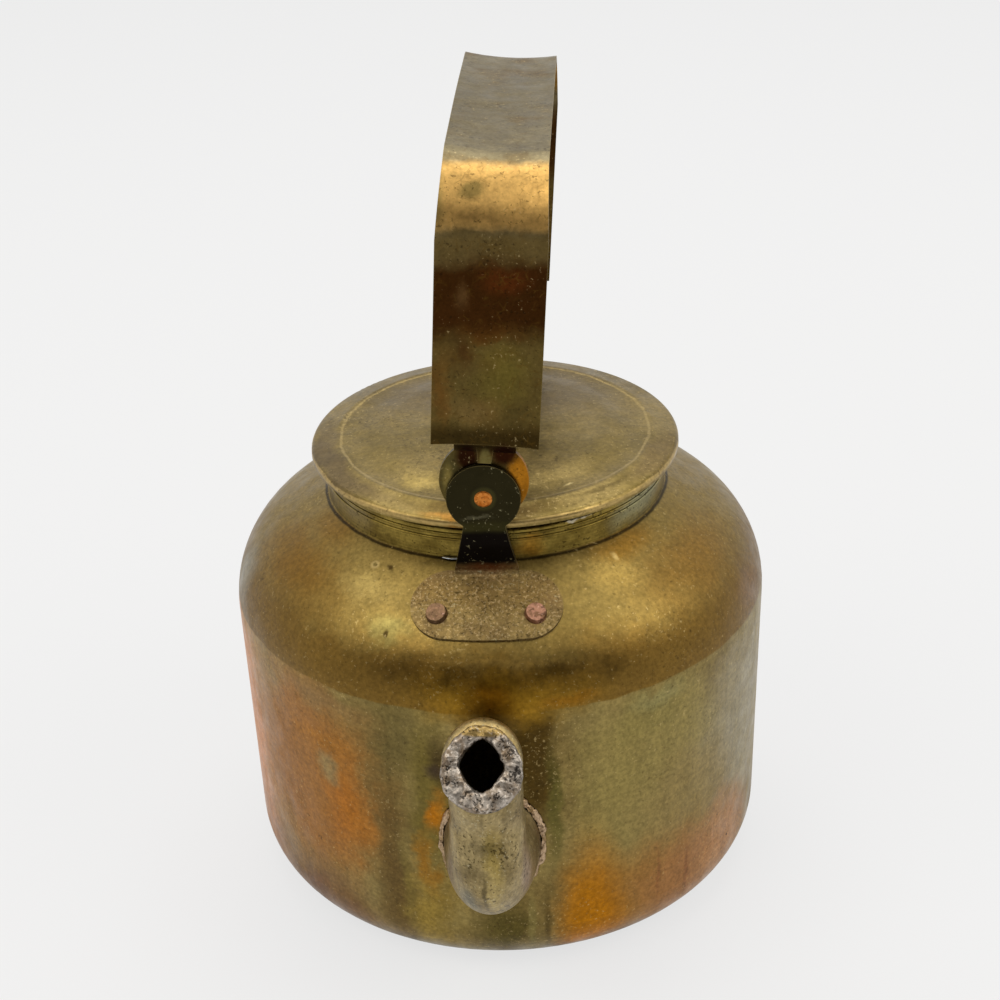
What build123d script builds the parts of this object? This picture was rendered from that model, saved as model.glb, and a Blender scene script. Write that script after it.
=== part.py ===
"""Brass tea kettle: spun body, lift-off lid, swing handle on riveted brackets, gooseneck spout.

The origin is the middle of the flat bottom, +Z is up and the spout points along -Y.
Sizes are in millimetres and angles in degrees. "Out" is a distance from the upright axis.
"""
import os
from math import asin, atan2, cos, degrees, hypot, radians, sin, sqrt, tan

from build123d import *

os.makedirs("parts", exist_ok=True)

# Body shell: wall, shoulder and turned-under foot, spun from one sheet
body_radius = 75.0
wall_taper = 1.5
shell_sheet = 1.2
base_corner_radius = 16.0
foot_width = 8.0
shoulder_corner_height = 100.3
shoulder_slope = 30.0
shoulder_bend_radius = 28.0
shoulder_width = 28.1

# Base disc, let into the foot with a stepped edge, and its solder
base_sheet = 1.2
base_gap = 0.3
base_lap = 5.0
solder_leg = 1.8

# Neck ring, its spigot through the shoulder and the turned ridges round it
neck_wall = 2.2
neck_height = 8.7
spigot_wall = 1.3
spigot_drop = 3.0
ridge_radius = 0.35
ridge_count = 2
ridge_pitch = 1.5
neck_lip_radius = 0.7

# Lid: pressed sheet with a turned-down lip, a groove and a raised middle
lid_overhang = 3.8
lid_sheet = 1.0
lid_lip_depth = 2.0
lid_lip_bend = 1.5
lid_flange_rise = 4.4
lid_flange_fall = 1.4
lid_flange_width = 6.8
lid_groove_depth = 0.5
lid_groove_width = 1.2
lid_groove_slope = 1.8
lid_groove_bend = 2.5
lid_dish_rise = 1.2
lid_dish_width = 9.5
lid_dish_bend = 24.0
lid_crown_rise = 0.9

# Lid skirt, which enters the neck, and its swaged stop
skirt_sheet = 1.0
skirt_depth = 9.0
skirt_clearance = 0.4
stop_rise = 1.8
stop_height = 1.6
lid_seat_gap = 0.1

# Lid knob and its rove
knob_radius = 6.0
knob_foot_radius = 5.5
knob_foot_height = 1.5
knob_waist_radius = 2.8
knob_waist_height = 4.5
knob_cove = 0.7
knob_stem_radius = 2.0
rove_sheet = 0.9
rove_margin = 2.0
tail_height = 0.8
tail_margin = 0.9

# Brackets: an oval plate on the shoulder, a necked arm and a round eye
bracket_sheet = 1.1
plate_length = 39.2
plate_depth = 19.4
plate_inset = 14.4
plate_sink = 10.0
eye_radius = 9.4
eye_throat_half_width = 5.4
eye_throat_drop = 8.2
arm_foot_half_width = 8.2
arm_foot_gap = 3.9
arm_foot_reach = 5.0
arm_foot_bend = 2.2
arm_throat_bend = 5.0
arm_clearance = 0.6

# Rivets of the brackets
rivet_radius = 1.6
rivet_half_spacing = 12.5
rivet_head_radius = 3.0
rivet_head_top_radius = 2.5
rivet_head_height = 1.3

# Handle pivots
hinge_rise = 21.7
pivot_shank_radius = 1.9
pivot_face_radius = 2.25
pivot_proud = 0.15
pivot_running_gap = 0.05
pivot_side_gap = 0.1
washer_sheet = 0.6
washer_radius = 8.0
washer_to_lid = 0.65

# Handle: one strap with dished cross-section and a round lug at each end
strap_sheet = 1.3
strap_width = 26.7
strap_top_width = 24.9
strap_dish = 1.2
strap_foot_rise = 15.3
strap_rise = 84.4
strap_crown = 1.5
strap_crown_bend = 600.0
strap_corner_bend = 16.0
lug_radius = 11.3
lug_offset = 4.6
lug_joggle = 1.45
lug_joggle_rise = 2.5
lug_lap = 4.0
lug_rib_width = 4.4
lug_rib_end_width = 3.3
lug_rib_rise = 0.7
handle_lean = 3.8
handle_swing_limit = 108.0

# Spout: flared root, tight elbow, short riser and a mouth that faces forward and up
spout_sheet = 1.3
spout_root_height = 46.3
spout_root_half_height = 16.7
spout_root_half_width = 12.8
spout_chin_radius = 24.2
spout_crotch_gap = 2.6
spout_root_gap = 0.65
spout_half_width = 9.8
riser_half_width = 9.4
riser_foot_forward = 1.3
riser_foot_drop = 16.3
riser_waist_forward = 2.0
riser_waist_drop = 9.3
riser_waist_angle = 80.0
riser_head_forward = 3.7
riser_head_drop = 2.9
riser_head_angle = 60.0
mouth_reach = 23.6
mouth_lift = 23.3
mouth_angle = 37.0
mouth_radius = 9.9
heel_back = 4.0
heel_lift = 0.7
heel_angle = 45.0
heel_half_depth = 10.6
spout_root_run = 8.0
elbow_turns = (0.0, 35.0, 65.0, 90.0)

# Tinned rim in the mouth, with its pointed hole and pouring notch
rim_bulge = 1.9
rim_plug_depth = 1.5
rim_plug_gap = 0.4
rim_overhang = 0.1
hole_radius = 5.4
hole_point = 6.6
hole_facet_turn = 44.0
notch_width = 3.0
notch_depth = 1.2
notch_overrun = 1.0

# Solder bead round the spout's root
bead_width = 1.6
bead_rise = 1.2
bead_taper = 25.0

# Fit of a fixed piece in its hole
seat_gap = 0.03


# Shoulder geometry, from the driving sizes
base_radius = body_radius - wall_taper
wall_lean = degrees(atan2(body_radius - base_radius, shoulder_corner_height))
bend_turn = 90 - shoulder_slope + wall_lean
bend_reach = shoulder_bend_radius * tan(radians(bend_turn / 2))
cone_edge_radius = body_radius - bend_reach * cos(radians(shoulder_slope))
bend_centre_radius = cone_edge_radius - shoulder_bend_radius * sin(radians(shoulder_slope))
cone_edge_height = shoulder_corner_height + bend_reach * sin(radians(shoulder_slope))
bend_centre_height = cone_edge_height - shoulder_bend_radius * cos(radians(shoulder_slope))


def shoulder_height(radius):
    """Height of the shoulder's outer surface at a radius: a cone that runs into a round bend."""
    if radius <= cone_edge_radius:
        return cone_edge_height + (cone_edge_radius - radius) * tan(radians(shoulder_slope))
    return bend_centre_height + sqrt(shoulder_bend_radius**2 - (radius - bend_centre_radius) ** 2)


def shoulder_tilt(radius):
    """Angle between the shoulder's outward normal and straight up at a radius."""
    if radius <= cone_edge_radius:
        return shoulder_slope
    return degrees(asin((radius - bend_centre_radius) / shoulder_bend_radius))


def wall_radius(height):
    """Outer radius of the straight wall at a height."""
    return base_radius + (body_radius - base_radius) * height / shoulder_corner_height


# Heights and radii that follow
neck_outer_radius = body_radius - shoulder_width
lid_radius = neck_outer_radius + lid_overhang
plate_row = body_radius - plate_inset
neck_bore_radius = neck_outer_radius - neck_wall
spigot_radius = neck_bore_radius + spigot_wall
neck_foot_height = shoulder_height(neck_outer_radius)
neck_top_height = neck_foot_height + neck_height
sheet_drop = shell_sheet / cos(radians(shoulder_slope))
foot_inner_radius = base_radius - base_corner_radius - foot_width
lid_lip_top_height = neck_top_height + lid_flange_rise
lid_crease_radius = lid_radius - lid_flange_width
lid_crease_height = lid_lip_top_height + lid_flange_fall
groove_outer_radius = lid_crease_radius - lid_groove_slope
groove_inner_radius = groove_outer_radius - lid_groove_width
groove_height = lid_crease_height - lid_groove_depth
dish_radius = groove_inner_radius - lid_dish_width
dish_height = lid_crease_height + lid_dish_rise
lid_top_height = dish_height + lid_crown_rise
hinge_height = neck_foot_height + hinge_rise
washer_inner = lid_radius + washer_to_lid
washer_outer = washer_inner + washer_sheet
lug_inner = washer_outer + pivot_side_gap
lug_outer = lug_inner + strap_sheet
eye_inner = lug_outer + pivot_side_gap
eye_outer = eye_inner + bracket_sheet
lug_middle = (lug_inner + lug_outer) / 2
leg_middle = lug_middle + lug_joggle
strap_foot_height = hinge_height + strap_foot_rise
hinge_axis = Axis((0, 0, hinge_height), (0, 1, 0))
body_top = lid_top_height


# Solid inside the body's outer surface, which trims what meets the wall
with BuildPart() as body_envelope:
    with BuildSketch(Plane.XZ):
        with BuildLine():
            outline = FilletPolyline(
                (0, 0),
                (base_radius, 0),
                (body_radius, shoulder_corner_height),
                (0, shoulder_height(0)),
                radius=(base_corner_radius, shoulder_bend_radius),
            )
            Line(outline @ 1, outline @ 0)
        make_face()
    revolve(axis=Axis.Z)


# Spout: sections fan about the crotch at the wall, then climb and bend forward to the mouth
def spout_plane(out, height, rise, ahead=0.0):
    """Plane across the spout's path at a point, where rise is the path's angle above level."""
    along = Vector(0, -cos(radians(rise)), sin(radians(rise)))
    return Plane(origin=Vector(0, -out, height) + along * ahead, x_dir=(1, 0, 0), z_dir=along)


crotch_height = spout_root_height + spout_root_half_height
crotch_out = wall_radius(crotch_height)
chin_drop = spout_root_half_height * 2 - spout_chin_radius
mouth_out = crotch_out + mouth_reach
mouth_height = crotch_height + mouth_lift


def elbow_station(fan):
    """Section of the elbow: out, height, rise and half sizes, on a plane through the crotch."""
    reach = chin_drop * cos(radians(fan)) + sqrt(spout_chin_radius**2 - (chin_drop * sin(radians(fan))) ** 2)
    gap = spout_root_gap + (spout_crotch_gap - spout_root_gap) * sin(radians(fan))
    middle = (reach + gap) / 2
    flare = (spout_root_half_width - spout_half_width) * cos(radians(fan)) ** 4
    return (
        crotch_out + middle * sin(radians(fan)),
        crotch_height - middle * cos(radians(fan)),
        fan,
        spout_half_width + flare,
        (reach - gap) / 2,
    )


def riser_station(forward, drop, rise):
    """Round section of the riser, ahead of the elbow's end and below the mouth."""
    return (elbow_stations[-1][0] + forward, mouth_height - drop, rise, riser_half_width, riser_half_width)


elbow_stations = [elbow_station(turn) for turn in elbow_turns]
riser_stations = [
    elbow_stations[-1],
    riser_station(riser_foot_forward, riser_foot_drop, elbow_turns[-1]),
    riser_station(riser_waist_forward, riser_waist_drop, riser_waist_angle),
    riser_station(riser_head_forward, riser_head_drop, riser_head_angle),
    (mouth_out - heel_back, mouth_height + heel_lift, heel_angle, mouth_radius, heel_half_depth),
    (mouth_out, mouth_height, mouth_angle, mouth_radius, mouth_radius),
]


def spout_sections(stations, wall, overrun=0.0):
    """Ellipses at the stations, drawn in by the wall, the last one run on by the overrun."""
    sections = []
    for station in stations:
        ahead = overrun if station is stations[-1] else 0.0
        with BuildSketch(spout_plane(*station[:3], ahead=ahead)) as section:
            with BuildLine():
                half = EllipticalCenterArc((0, 0), station[3] - wall, station[4] - wall, -90, arc_size=180)
                mirror(half, about=Plane.YZ)
            make_face()
        sections.append(section.sketch)
    return sections


with BuildPart() as spout_outside:
    loft(sections=spout_sections(elbow_stations, 0.0))
    loft(sections=spout_sections(riser_stations, 0.0))
    extrude(spout_sections(elbow_stations[:1], 0.0)[0], amount=-spout_root_run)

with BuildPart() as spout_bore:
    loft(sections=spout_sections(elbow_stations, spout_sheet))
    loft(sections=spout_sections(riser_stations, spout_sheet, overrun=spout_sheet))
    extrude(spout_sections(elbow_stations[:1], spout_sheet)[0], amount=-spout_root_run - spout_sheet)

with BuildPart() as spout:
    add(spout_outside.part)
    add(spout_bore.part, mode=Mode.SUBTRACT)
    add(body_envelope.part, mode=Mode.SUBTRACT)

# Tinned rim: a rounded ring in the mouth with a pointed hole and a notch to pour from
mouth_plane = spout_plane(mouth_out, mouth_height, mouth_angle)
rim_section_plane = Plane(origin=mouth_plane.origin, x_dir=(1, 0, 0), z_dir=-mouth_plane.y_dir)
plug_radius = mouth_radius - spout_sheet - rim_plug_gap
rim_outer_radius = mouth_radius + rim_overhang
with BuildPart() as rim_plug:
    with BuildSketch(mouth_plane):
        Circle(plug_radius)
    extrude(amount=-rim_plug_depth)
    add(spout_bore.part, mode=Mode.INTERSECT)

with BuildPart() as spout_rim:
    with BuildSketch(rim_section_plane):
        with BuildLine():
            Polyline((0, rim_bulge / 2), (0, 0), (rim_outer_radius, 0))
            face_arc = ThreePointArc(
                (rim_outer_radius, 0),
                ((rim_outer_radius + hole_radius) / 2, rim_bulge),
                (hole_radius, rim_bulge / 2),
            )
            Line(face_arc @ 1, (0, rim_bulge / 2))
        make_face()
    revolve(axis=Axis(mouth_plane.origin, mouth_plane.z_dir))
    add(rim_plug.part)
    with BuildSketch(mouth_plane.offset(-rim_plug_depth)):
        facet_x = hole_radius * cos(radians(hole_facet_turn))
        facet_y = hole_radius * sin(radians(hole_facet_turn))
        Circle(hole_radius)
        with BuildLine():
            Polyline((0, hole_point), (facet_x, facet_y), (-facet_x, facet_y), close=True)
        make_face()
        mirror(about=Plane.XZ)
    extrude(amount=rim_plug_depth + rim_bulge, mode=Mode.SUBTRACT)
    with BuildSketch(mouth_plane.offset(rim_bulge)):
        with BuildLine():
            Polyline(
                (-notch_width / 2, notch_overrun - hole_radius),
                (notch_width / 2, notch_overrun - hole_radius),
                (0, -rim_outer_radius - notch_overrun),
                close=True,
            )
        make_face()
    extrude(amount=-notch_depth, mode=Mode.SUBTRACT)

# Solder bead on the wall round the spout's root
bead_plane = spout_plane(crotch_out - bead_rise, spout_root_height, 0)
bead_reach = spout_root_half_height + bead_width
with BuildPart() as spout_solder_bead:
    with BuildSketch(bead_plane):
        Ellipse(spout_root_half_width + bead_width, bead_reach)
    extrude(amount=bead_rise * 3, taper=bead_taper)
    with BuildSketch(Plane.XZ):
        with BuildLine():
            Polyline(
                (0, spout_root_height - bead_reach),
                (wall_radius(spout_root_height - bead_reach) + bead_rise, spout_root_height - bead_reach),
                (wall_radius(spout_root_height + bead_reach) + bead_rise, spout_root_height + bead_reach),
                (0, spout_root_height + bead_reach),
                close=True,
            )
        make_face()
    revolve(axis=Axis.Z, mode=Mode.INTERSECT)
    add(body_envelope.part, mode=Mode.SUBTRACT)
    add(spout_outside.part, mode=Mode.SUBTRACT)


# Brackets: plate cut from the shoulder's own shape, arm and eye bent from the same sheet
def rivet_planes(side):
    """Planes on the shoulder at a bracket's two rivets: side is -1 in front and 1 behind."""
    reach = hypot(rivet_half_spacing, plate_row)
    tilt = radians(shoulder_tilt(reach))
    planes = []
    for across in (-rivet_half_spacing, rivet_half_spacing):
        outward = Vector(across, side * plate_row, 0) / reach
        normal = outward * sin(tilt) + Vector(0, 0, cos(tilt))
        planes.append(Plane(origin=(across, side * plate_row, shoulder_height(reach)), z_dir=normal))
    return planes


all_rivet_planes = rivet_planes(-1) + rivet_planes(1)
plate_plane = Plane(
    origin=(0, -plate_row, shoulder_height(plate_row)),
    x_dir=(1, 0, 0),
    z_dir=(0, -sin(radians(shoulder_tilt(plate_row))), cos(radians(shoulder_tilt(plate_row)))),
)
plate_bend = plate_row / cos(radians(shoulder_tilt(plate_row)))
plate_end_turn = degrees((plate_length - plate_depth) / 2 / plate_bend)
arm_lift = bracket_sheet / 2 / cos(radians(shoulder_slope))
eye_middle = (eye_inner + eye_outer) / 2
arm_foot_out = neck_outer_radius + arm_foot_gap
lug_reach = lug_radius - lug_offset * cos(radians(handle_swing_limit))


def arm_height(out):
    """Height of the arm's mid-sheet where it lies along the shoulder."""
    return shoulder_height(out) + arm_lift


pivot_front = Plane(origin=(0, -eye_outer, hinge_height), x_dir=(1, 0, 0), z_dir=(0, -1, 0))

with BuildPart() as bracket_arm:
    with BuildSketch(Plane.YZ):
        with BuildLine() as arm_line:
            FilletPolyline(
                (-arm_foot_out - arm_foot_reach, arm_height(arm_foot_out + arm_foot_reach)),
                (-arm_foot_out, arm_height(arm_foot_out)),
                (-eye_middle, hinge_height - lug_reach - arm_clearance),
                (-eye_middle, hinge_height + eye_radius * 2),
                radius=(arm_foot_bend, arm_throat_bend),
            )
            offset(amount=bracket_sheet / 2)
        make_face()
    extrude(amount=eye_radius * 2, both=True)
    with BuildSketch(Plane.XZ):
        with Locations((0, hinge_height)):
            Circle(eye_radius)
        with BuildLine():
            Polyline(
                (-eye_throat_half_width, hinge_height),
                (-eye_throat_half_width, hinge_height - eye_throat_drop),
                (-arm_foot_half_width, neck_foot_height),
                (-arm_foot_half_width, bend_centre_height),
                (arm_foot_half_width, bend_centre_height),
                (arm_foot_half_width, neck_foot_height),
                (eye_throat_half_width, hinge_height - eye_throat_drop),
                (eye_throat_half_width, hinge_height),
                close=True,
            )
        make_face()
    extrude(amount=body_radius, mode=Mode.INTERSECT)

with BuildPart() as front_bracket:
    with BuildSketch(Plane.XZ):
        with BuildLine():
            FilletPolyline(
                (neck_outer_radius, shoulder_height(neck_outer_radius)),
                (body_radius, shoulder_corner_height),
                (wall_radius(bend_centre_height / 2), bend_centre_height / 2),
                radius=shoulder_bend_radius,
            )
            offset(amount=bracket_sheet, side=Side.LEFT)
        make_face()
    revolve(axis=Axis.Z)
    with BuildSketch(plate_plane.offset(-plate_sink)):
        plate_centre_line = CenterArc((0, plate_bend), plate_bend, -90 - plate_end_turn, plate_end_turn * 2)
        SlotArc(plate_centre_line, plate_depth)
    extrude(amount=plate_sink * 2, mode=Mode.INTERSECT)
    add(bracket_arm.part)
    with Locations(pivot_front):
        CounterSinkHole(pivot_shank_radius + seat_gap, pivot_face_radius + seat_gap, counter_sink_angle=90)
    with Locations(*rivet_planes(-1)):
        Cylinder(rivet_radius + seat_gap, body_radius / 3, mode=Mode.SUBTRACT)

with BuildPart() as rear_bracket:
    mirror(front_bracket.part, about=Plane.XZ)

# Body shell with its neck hole, rivet holes and spout hole
with BuildPart() as body_shell:
    with BuildSketch(Plane.XZ):
        with BuildLine():
            FilletPolyline(
                (foot_inner_radius, 0),
                (base_radius, 0),
                (body_radius, shoulder_corner_height),
                (neck_bore_radius, shoulder_height(neck_bore_radius)),
                radius=(base_corner_radius, shoulder_bend_radius),
            )
            offset(amount=shell_sheet, side=Side.LEFT)
        make_face()
    revolve(axis=Axis.Z)
    with Locations((0, 0, body_top)):
        Hole(spigot_radius + seat_gap, depth=body_top - bend_centre_height)
    with Locations(*all_rivet_planes):
        Cylinder(rivet_radius + seat_gap, shell_sheet * 4, mode=Mode.SUBTRACT)
    add(spout_bore.part, mode=Mode.SUBTRACT)

# Base disc: its middle is flush with the foot and its stepped edge laps over it inside
base_flush_radius = foot_inner_radius - base_gap
base_lap_radius = foot_inner_radius + base_lap
with BuildPart() as base_disc:
    with BuildSketch(Plane.XZ):
        with BuildLine():
            Polyline(
                (0, 0),
                (base_flush_radius, 0),
                (base_flush_radius, shell_sheet),
                (base_lap_radius, shell_sheet),
                (base_lap_radius, shell_sheet + base_sheet),
                (base_flush_radius - base_sheet, shell_sheet + base_sheet),
                (base_flush_radius - base_sheet * 2, base_sheet),
                (0, base_sheet),
                close=True,
            )
        make_face()
    revolve(axis=Axis.Z)

with BuildPart() as base_solder_seam:
    with BuildSketch(Plane.XZ):
        with BuildLine():
            Polyline(
                (base_lap_radius, shell_sheet),
                (base_lap_radius + solder_leg, shell_sheet),
                (base_lap_radius, shell_sheet + solder_leg),
                close=True,
            )
        make_face()
    revolve(axis=Axis.Z)

# Neck ring: it stands on the shoulder, and its spigot goes through the hole
spigot_bottom = shoulder_height(spigot_radius) - sheet_drop - spigot_drop
seat_height = neck_foot_height - sheet_drop / 2
with BuildPart() as neck_ring:
    with BuildSketch(Plane.XZ):
        with BuildLine():
            Polyline(
                (neck_bore_radius, spigot_bottom),
                (spigot_radius, spigot_bottom),
                (spigot_radius, seat_height),
                (neck_outer_radius, seat_height),
                (neck_outer_radius, neck_top_height - neck_lip_radius),
                (neck_outer_radius - neck_lip_radius, neck_top_height),
                (neck_bore_radius, neck_top_height),
                close=True,
            )
        make_face()
        with Locations((neck_outer_radius - neck_lip_radius, neck_top_height - neck_lip_radius)):
            Circle(neck_lip_radius)
        ridge_top = neck_top_height - neck_lip_radius * 2 - ridge_radius
        for ridge in range(ridge_count):
            with Locations((neck_outer_radius, ridge_top - ridge * ridge_pitch)):
                Circle(ridge_radius)
    revolve(axis=Axis.Z)
    add(body_shell.part, mode=Mode.SUBTRACT)

with BuildPart() as neck_solder_seam:
    under_shoulder = shoulder_height(spigot_radius) - sheet_drop
    seam_fall = solder_leg * tan(radians(shoulder_slope))
    with BuildSketch(Plane.XZ):
        with BuildLine():
            Polyline(
                (spigot_radius, under_shoulder + shell_sheet / 2),
                (spigot_radius + solder_leg, under_shoulder + shell_sheet / 2 - seam_fall),
                (spigot_radius + solder_leg, under_shoulder - seam_fall),
                (spigot_radius, under_shoulder - solder_leg),
                close=True,
            )
        make_face()
    revolve(axis=Axis.Z)
    add(body_shell.part, mode=Mode.SUBTRACT)
    add(neck_ring.part, mode=Mode.SUBTRACT)

# Lid sheet, pressed to one profile from lip to middle
with BuildPart() as lid_disc:
    with BuildSketch(Plane.XZ):
        with BuildLine():
            FilletPolyline(
                (lid_radius, lid_lip_top_height - lid_lip_depth),
                (lid_radius, lid_lip_top_height),
                (lid_crease_radius, lid_crease_height),
                (groove_outer_radius, groove_height),
                (groove_inner_radius, groove_height),
                (dish_radius, dish_height),
                (knob_stem_radius / 2, lid_top_height),
                radius=(lid_lip_bend, lid_groove_bend, lid_sheet, lid_groove_bend, lid_dish_bend),
            )
            offset(amount=lid_sheet, side=Side.LEFT)
        make_face()
    revolve(axis=Axis.Z)
    with Locations((0, 0, lid_top_height)):
        Hole(knob_stem_radius + seat_gap, depth=lid_sheet * 4)

# Lid skirt: it fits in the neck, and its swaged stop sits on the neck ring
skirt_radius = neck_bore_radius - skirt_clearance
stop_bottom = neck_top_height + lid_seat_gap
with BuildPart() as lid_skirt:
    with BuildSketch(Plane.XZ):
        with BuildLine():
            Polyline(
                (skirt_radius - skirt_sheet, neck_top_height - skirt_depth),
                (skirt_radius, neck_top_height - skirt_depth),
                (skirt_radius, stop_bottom),
                (skirt_radius + stop_rise, stop_bottom),
                (skirt_radius + stop_rise, stop_bottom + stop_height / 2),
                (skirt_radius, stop_bottom + stop_height),
                (skirt_radius, lid_crease_height - lid_sheet),
                (skirt_radius - skirt_sheet, lid_crease_height - lid_sheet),
                close=True,
            )
        make_face()
    revolve(axis=Axis.Z)
    add(lid_disc.part, mode=Mode.SUBTRACT)

# Lid knob: a turned piece whose stem goes through the lid and is peened over a rove
under_lid = lid_top_height - lid_sheet
waist_height = lid_top_height + knob_waist_height
ball_height = waist_height + sqrt(knob_radius**2 - knob_waist_radius**2)
with BuildPart() as lid_knob:
    with BuildSketch(Plane.XZ):
        with BuildLine():
            knob_stem = Polyline(
                (0, under_lid - rove_sheet - tail_height),
                (knob_stem_radius + tail_margin, under_lid - rove_sheet - tail_height),
                (knob_stem_radius + tail_margin, under_lid - rove_sheet),
                (knob_stem_radius, under_lid - rove_sheet),
                (knob_stem_radius, lid_top_height - lid_sheet / 2),
                (knob_foot_radius, lid_top_height - lid_sheet / 2),
                (knob_foot_radius, lid_top_height + knob_foot_height),
            )
            foot_arc = ThreePointArc(
                knob_stem @ 1,
                (knob_waist_radius + knob_cove, lid_top_height + knob_foot_height + knob_cove),
                (knob_waist_radius, waist_height),
            )
            ball_arc = ThreePointArc(foot_arc @ 1, (knob_radius, ball_height), (0, ball_height + knob_radius))
            Line(ball_arc @ 1, knob_stem @ 0)
        make_face()
    revolve(axis=Axis.Z)
    add(lid_disc.part, mode=Mode.SUBTRACT)

with BuildPart() as lid_knob_rove:
    with Locations((0, 0, under_lid - rove_sheet)):
        Cylinder(
            knob_stem_radius + rove_margin,
            rove_sheet + lid_sheet / 2,
            align=(Align.CENTER, Align.CENTER, Align.MIN),
        )
        Cylinder(knob_stem_radius + seat_gap, body_radius, mode=Mode.SUBTRACT)
    add(lid_disc.part, mode=Mode.SUBTRACT)


# Rivets and roves
def build_rivets(side, bracket):
    """Head, shank and peened tail of a bracket's two rivets."""
    tail_start = shell_sheet + rove_sheet
    with Locations(*rivet_planes(side)):
        with Locations((0, 0, bracket_sheet / 2)):
            Cone(
                rivet_head_radius,
                rivet_head_top_radius,
                rivet_head_height + bracket_sheet / 2,
                align=(Align.CENTER, Align.CENTER, Align.MIN),
            )
    add(bracket, mode=Mode.SUBTRACT)
    with Locations(*rivet_planes(side)):
        with Locations((0, 0, -tail_start)):
            Cylinder(
                rivet_radius,
                tail_start + bracket_sheet,
                align=(Align.CENTER, Align.CENTER, Align.MIN),
            )
            Cylinder(
                rivet_radius + tail_margin,
                tail_height,
                align=(Align.CENTER, Align.CENTER, Align.MAX),
            )


def build_roves(side):
    """Washers inside the shoulder under a bracket's two rivet tails."""
    with Locations(*rivet_planes(side)):
        with Locations((0, 0, -shell_sheet - rove_sheet)):
            Cylinder(
                rivet_radius + rove_margin,
                rove_sheet + shell_sheet / 2,
                align=(Align.CENTER, Align.CENTER, Align.MIN),
            )
    add(body_shell.part, mode=Mode.SUBTRACT)
    with Locations(*rivet_planes(side)):
        Cylinder(rivet_radius + seat_gap, body_radius / 3, mode=Mode.SUBTRACT)


with BuildPart() as front_bracket_rivets:
    build_rivets(-1, front_bracket.part)

with BuildPart() as rear_bracket_rivets:
    build_rivets(1, rear_bracket.part)

with BuildPart() as front_rivet_roves:
    build_roves(-1)

with BuildPart() as rear_rivet_roves:
    build_roves(1)

# Pivot pins: peened flush into a countersink at both ends
pivot_flare = pivot_face_radius - pivot_shank_radius
with BuildPart() as front_pivot_pin:
    with BuildSketch(Plane.YZ):
        with BuildLine():
            Polyline(
                (-washer_inner, hinge_height),
                (-washer_inner, hinge_height + pivot_face_radius),
                (-washer_inner - pivot_flare, hinge_height + pivot_shank_radius),
                (-eye_outer + pivot_flare, hinge_height + pivot_shank_radius),
                (-eye_outer, hinge_height + pivot_face_radius),
                (-eye_outer - pivot_proud, hinge_height + pivot_shank_radius),
                (-eye_outer - pivot_proud, hinge_height),
                close=True,
            )
        make_face()
    revolve(axis=hinge_axis)

with BuildPart() as rear_pivot_pin:
    mirror(front_pivot_pin.part, about=Plane.XZ)

with BuildPart() as front_pivot_washer:
    with BuildSketch(Plane.XZ.offset(washer_inner)):
        with Locations((0, hinge_height)):
            Circle(washer_radius)
    extrude(amount=washer_sheet)
    with Locations(Plane(origin=(0, -washer_inner, hinge_height), x_dir=(1, 0, 0), z_dir=(0, 1, 0))):
        CounterSinkHole(pivot_shank_radius + seat_gap, pivot_face_radius + seat_gap, counter_sink_angle=90)

with BuildPart() as rear_pivot_washer:
    mirror(front_pivot_washer.part, about=Plane.XZ)

# Handle lugs: a round eye, a ribbed neck and a joggle out to the strap
rib_start = eye_radius + pivot_side_gap * 4
with BuildPart() as handle_lug:
    with BuildSketch(Plane.YZ):
        with BuildLine():
            FilletPolyline(
                (-lug_middle, hinge_height - lug_radius * 2),
                (-lug_middle, strap_foot_height - lug_joggle_rise),
                (-leg_middle, strap_foot_height),
                (-leg_middle, strap_foot_height + lug_lap * 2),
                radius=strap_sheet,
            )
            offset(amount=strap_sheet / 2)
        make_face()
    extrude(amount=lug_radius * 2, both=True)
    with BuildSketch(Plane.XZ):
        with Locations((0, hinge_height + lug_offset)):
            Circle(lug_radius)
            Rectangle(lug_radius * 2, strap_foot_rise + lug_lap - lug_offset, align=(Align.CENTER, Align.MIN))
    extrude(amount=body_radius, mode=Mode.INTERSECT)
    with BuildSketch(Plane.XZ.offset(lug_middle)):
        with BuildLine():
            Polyline(
                (-lug_rib_end_width / 2, hinge_height + rib_start),
                (lug_rib_end_width / 2, hinge_height + rib_start),
                (lug_rib_width / 2, strap_foot_height),
                (-lug_rib_width / 2, strap_foot_height),
                close=True,
            )
        make_face()
    extrude(amount=strap_sheet / 2 + lug_rib_rise)
    with Locations(pivot_front):
        Hole(pivot_shank_radius + pivot_running_gap)

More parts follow.
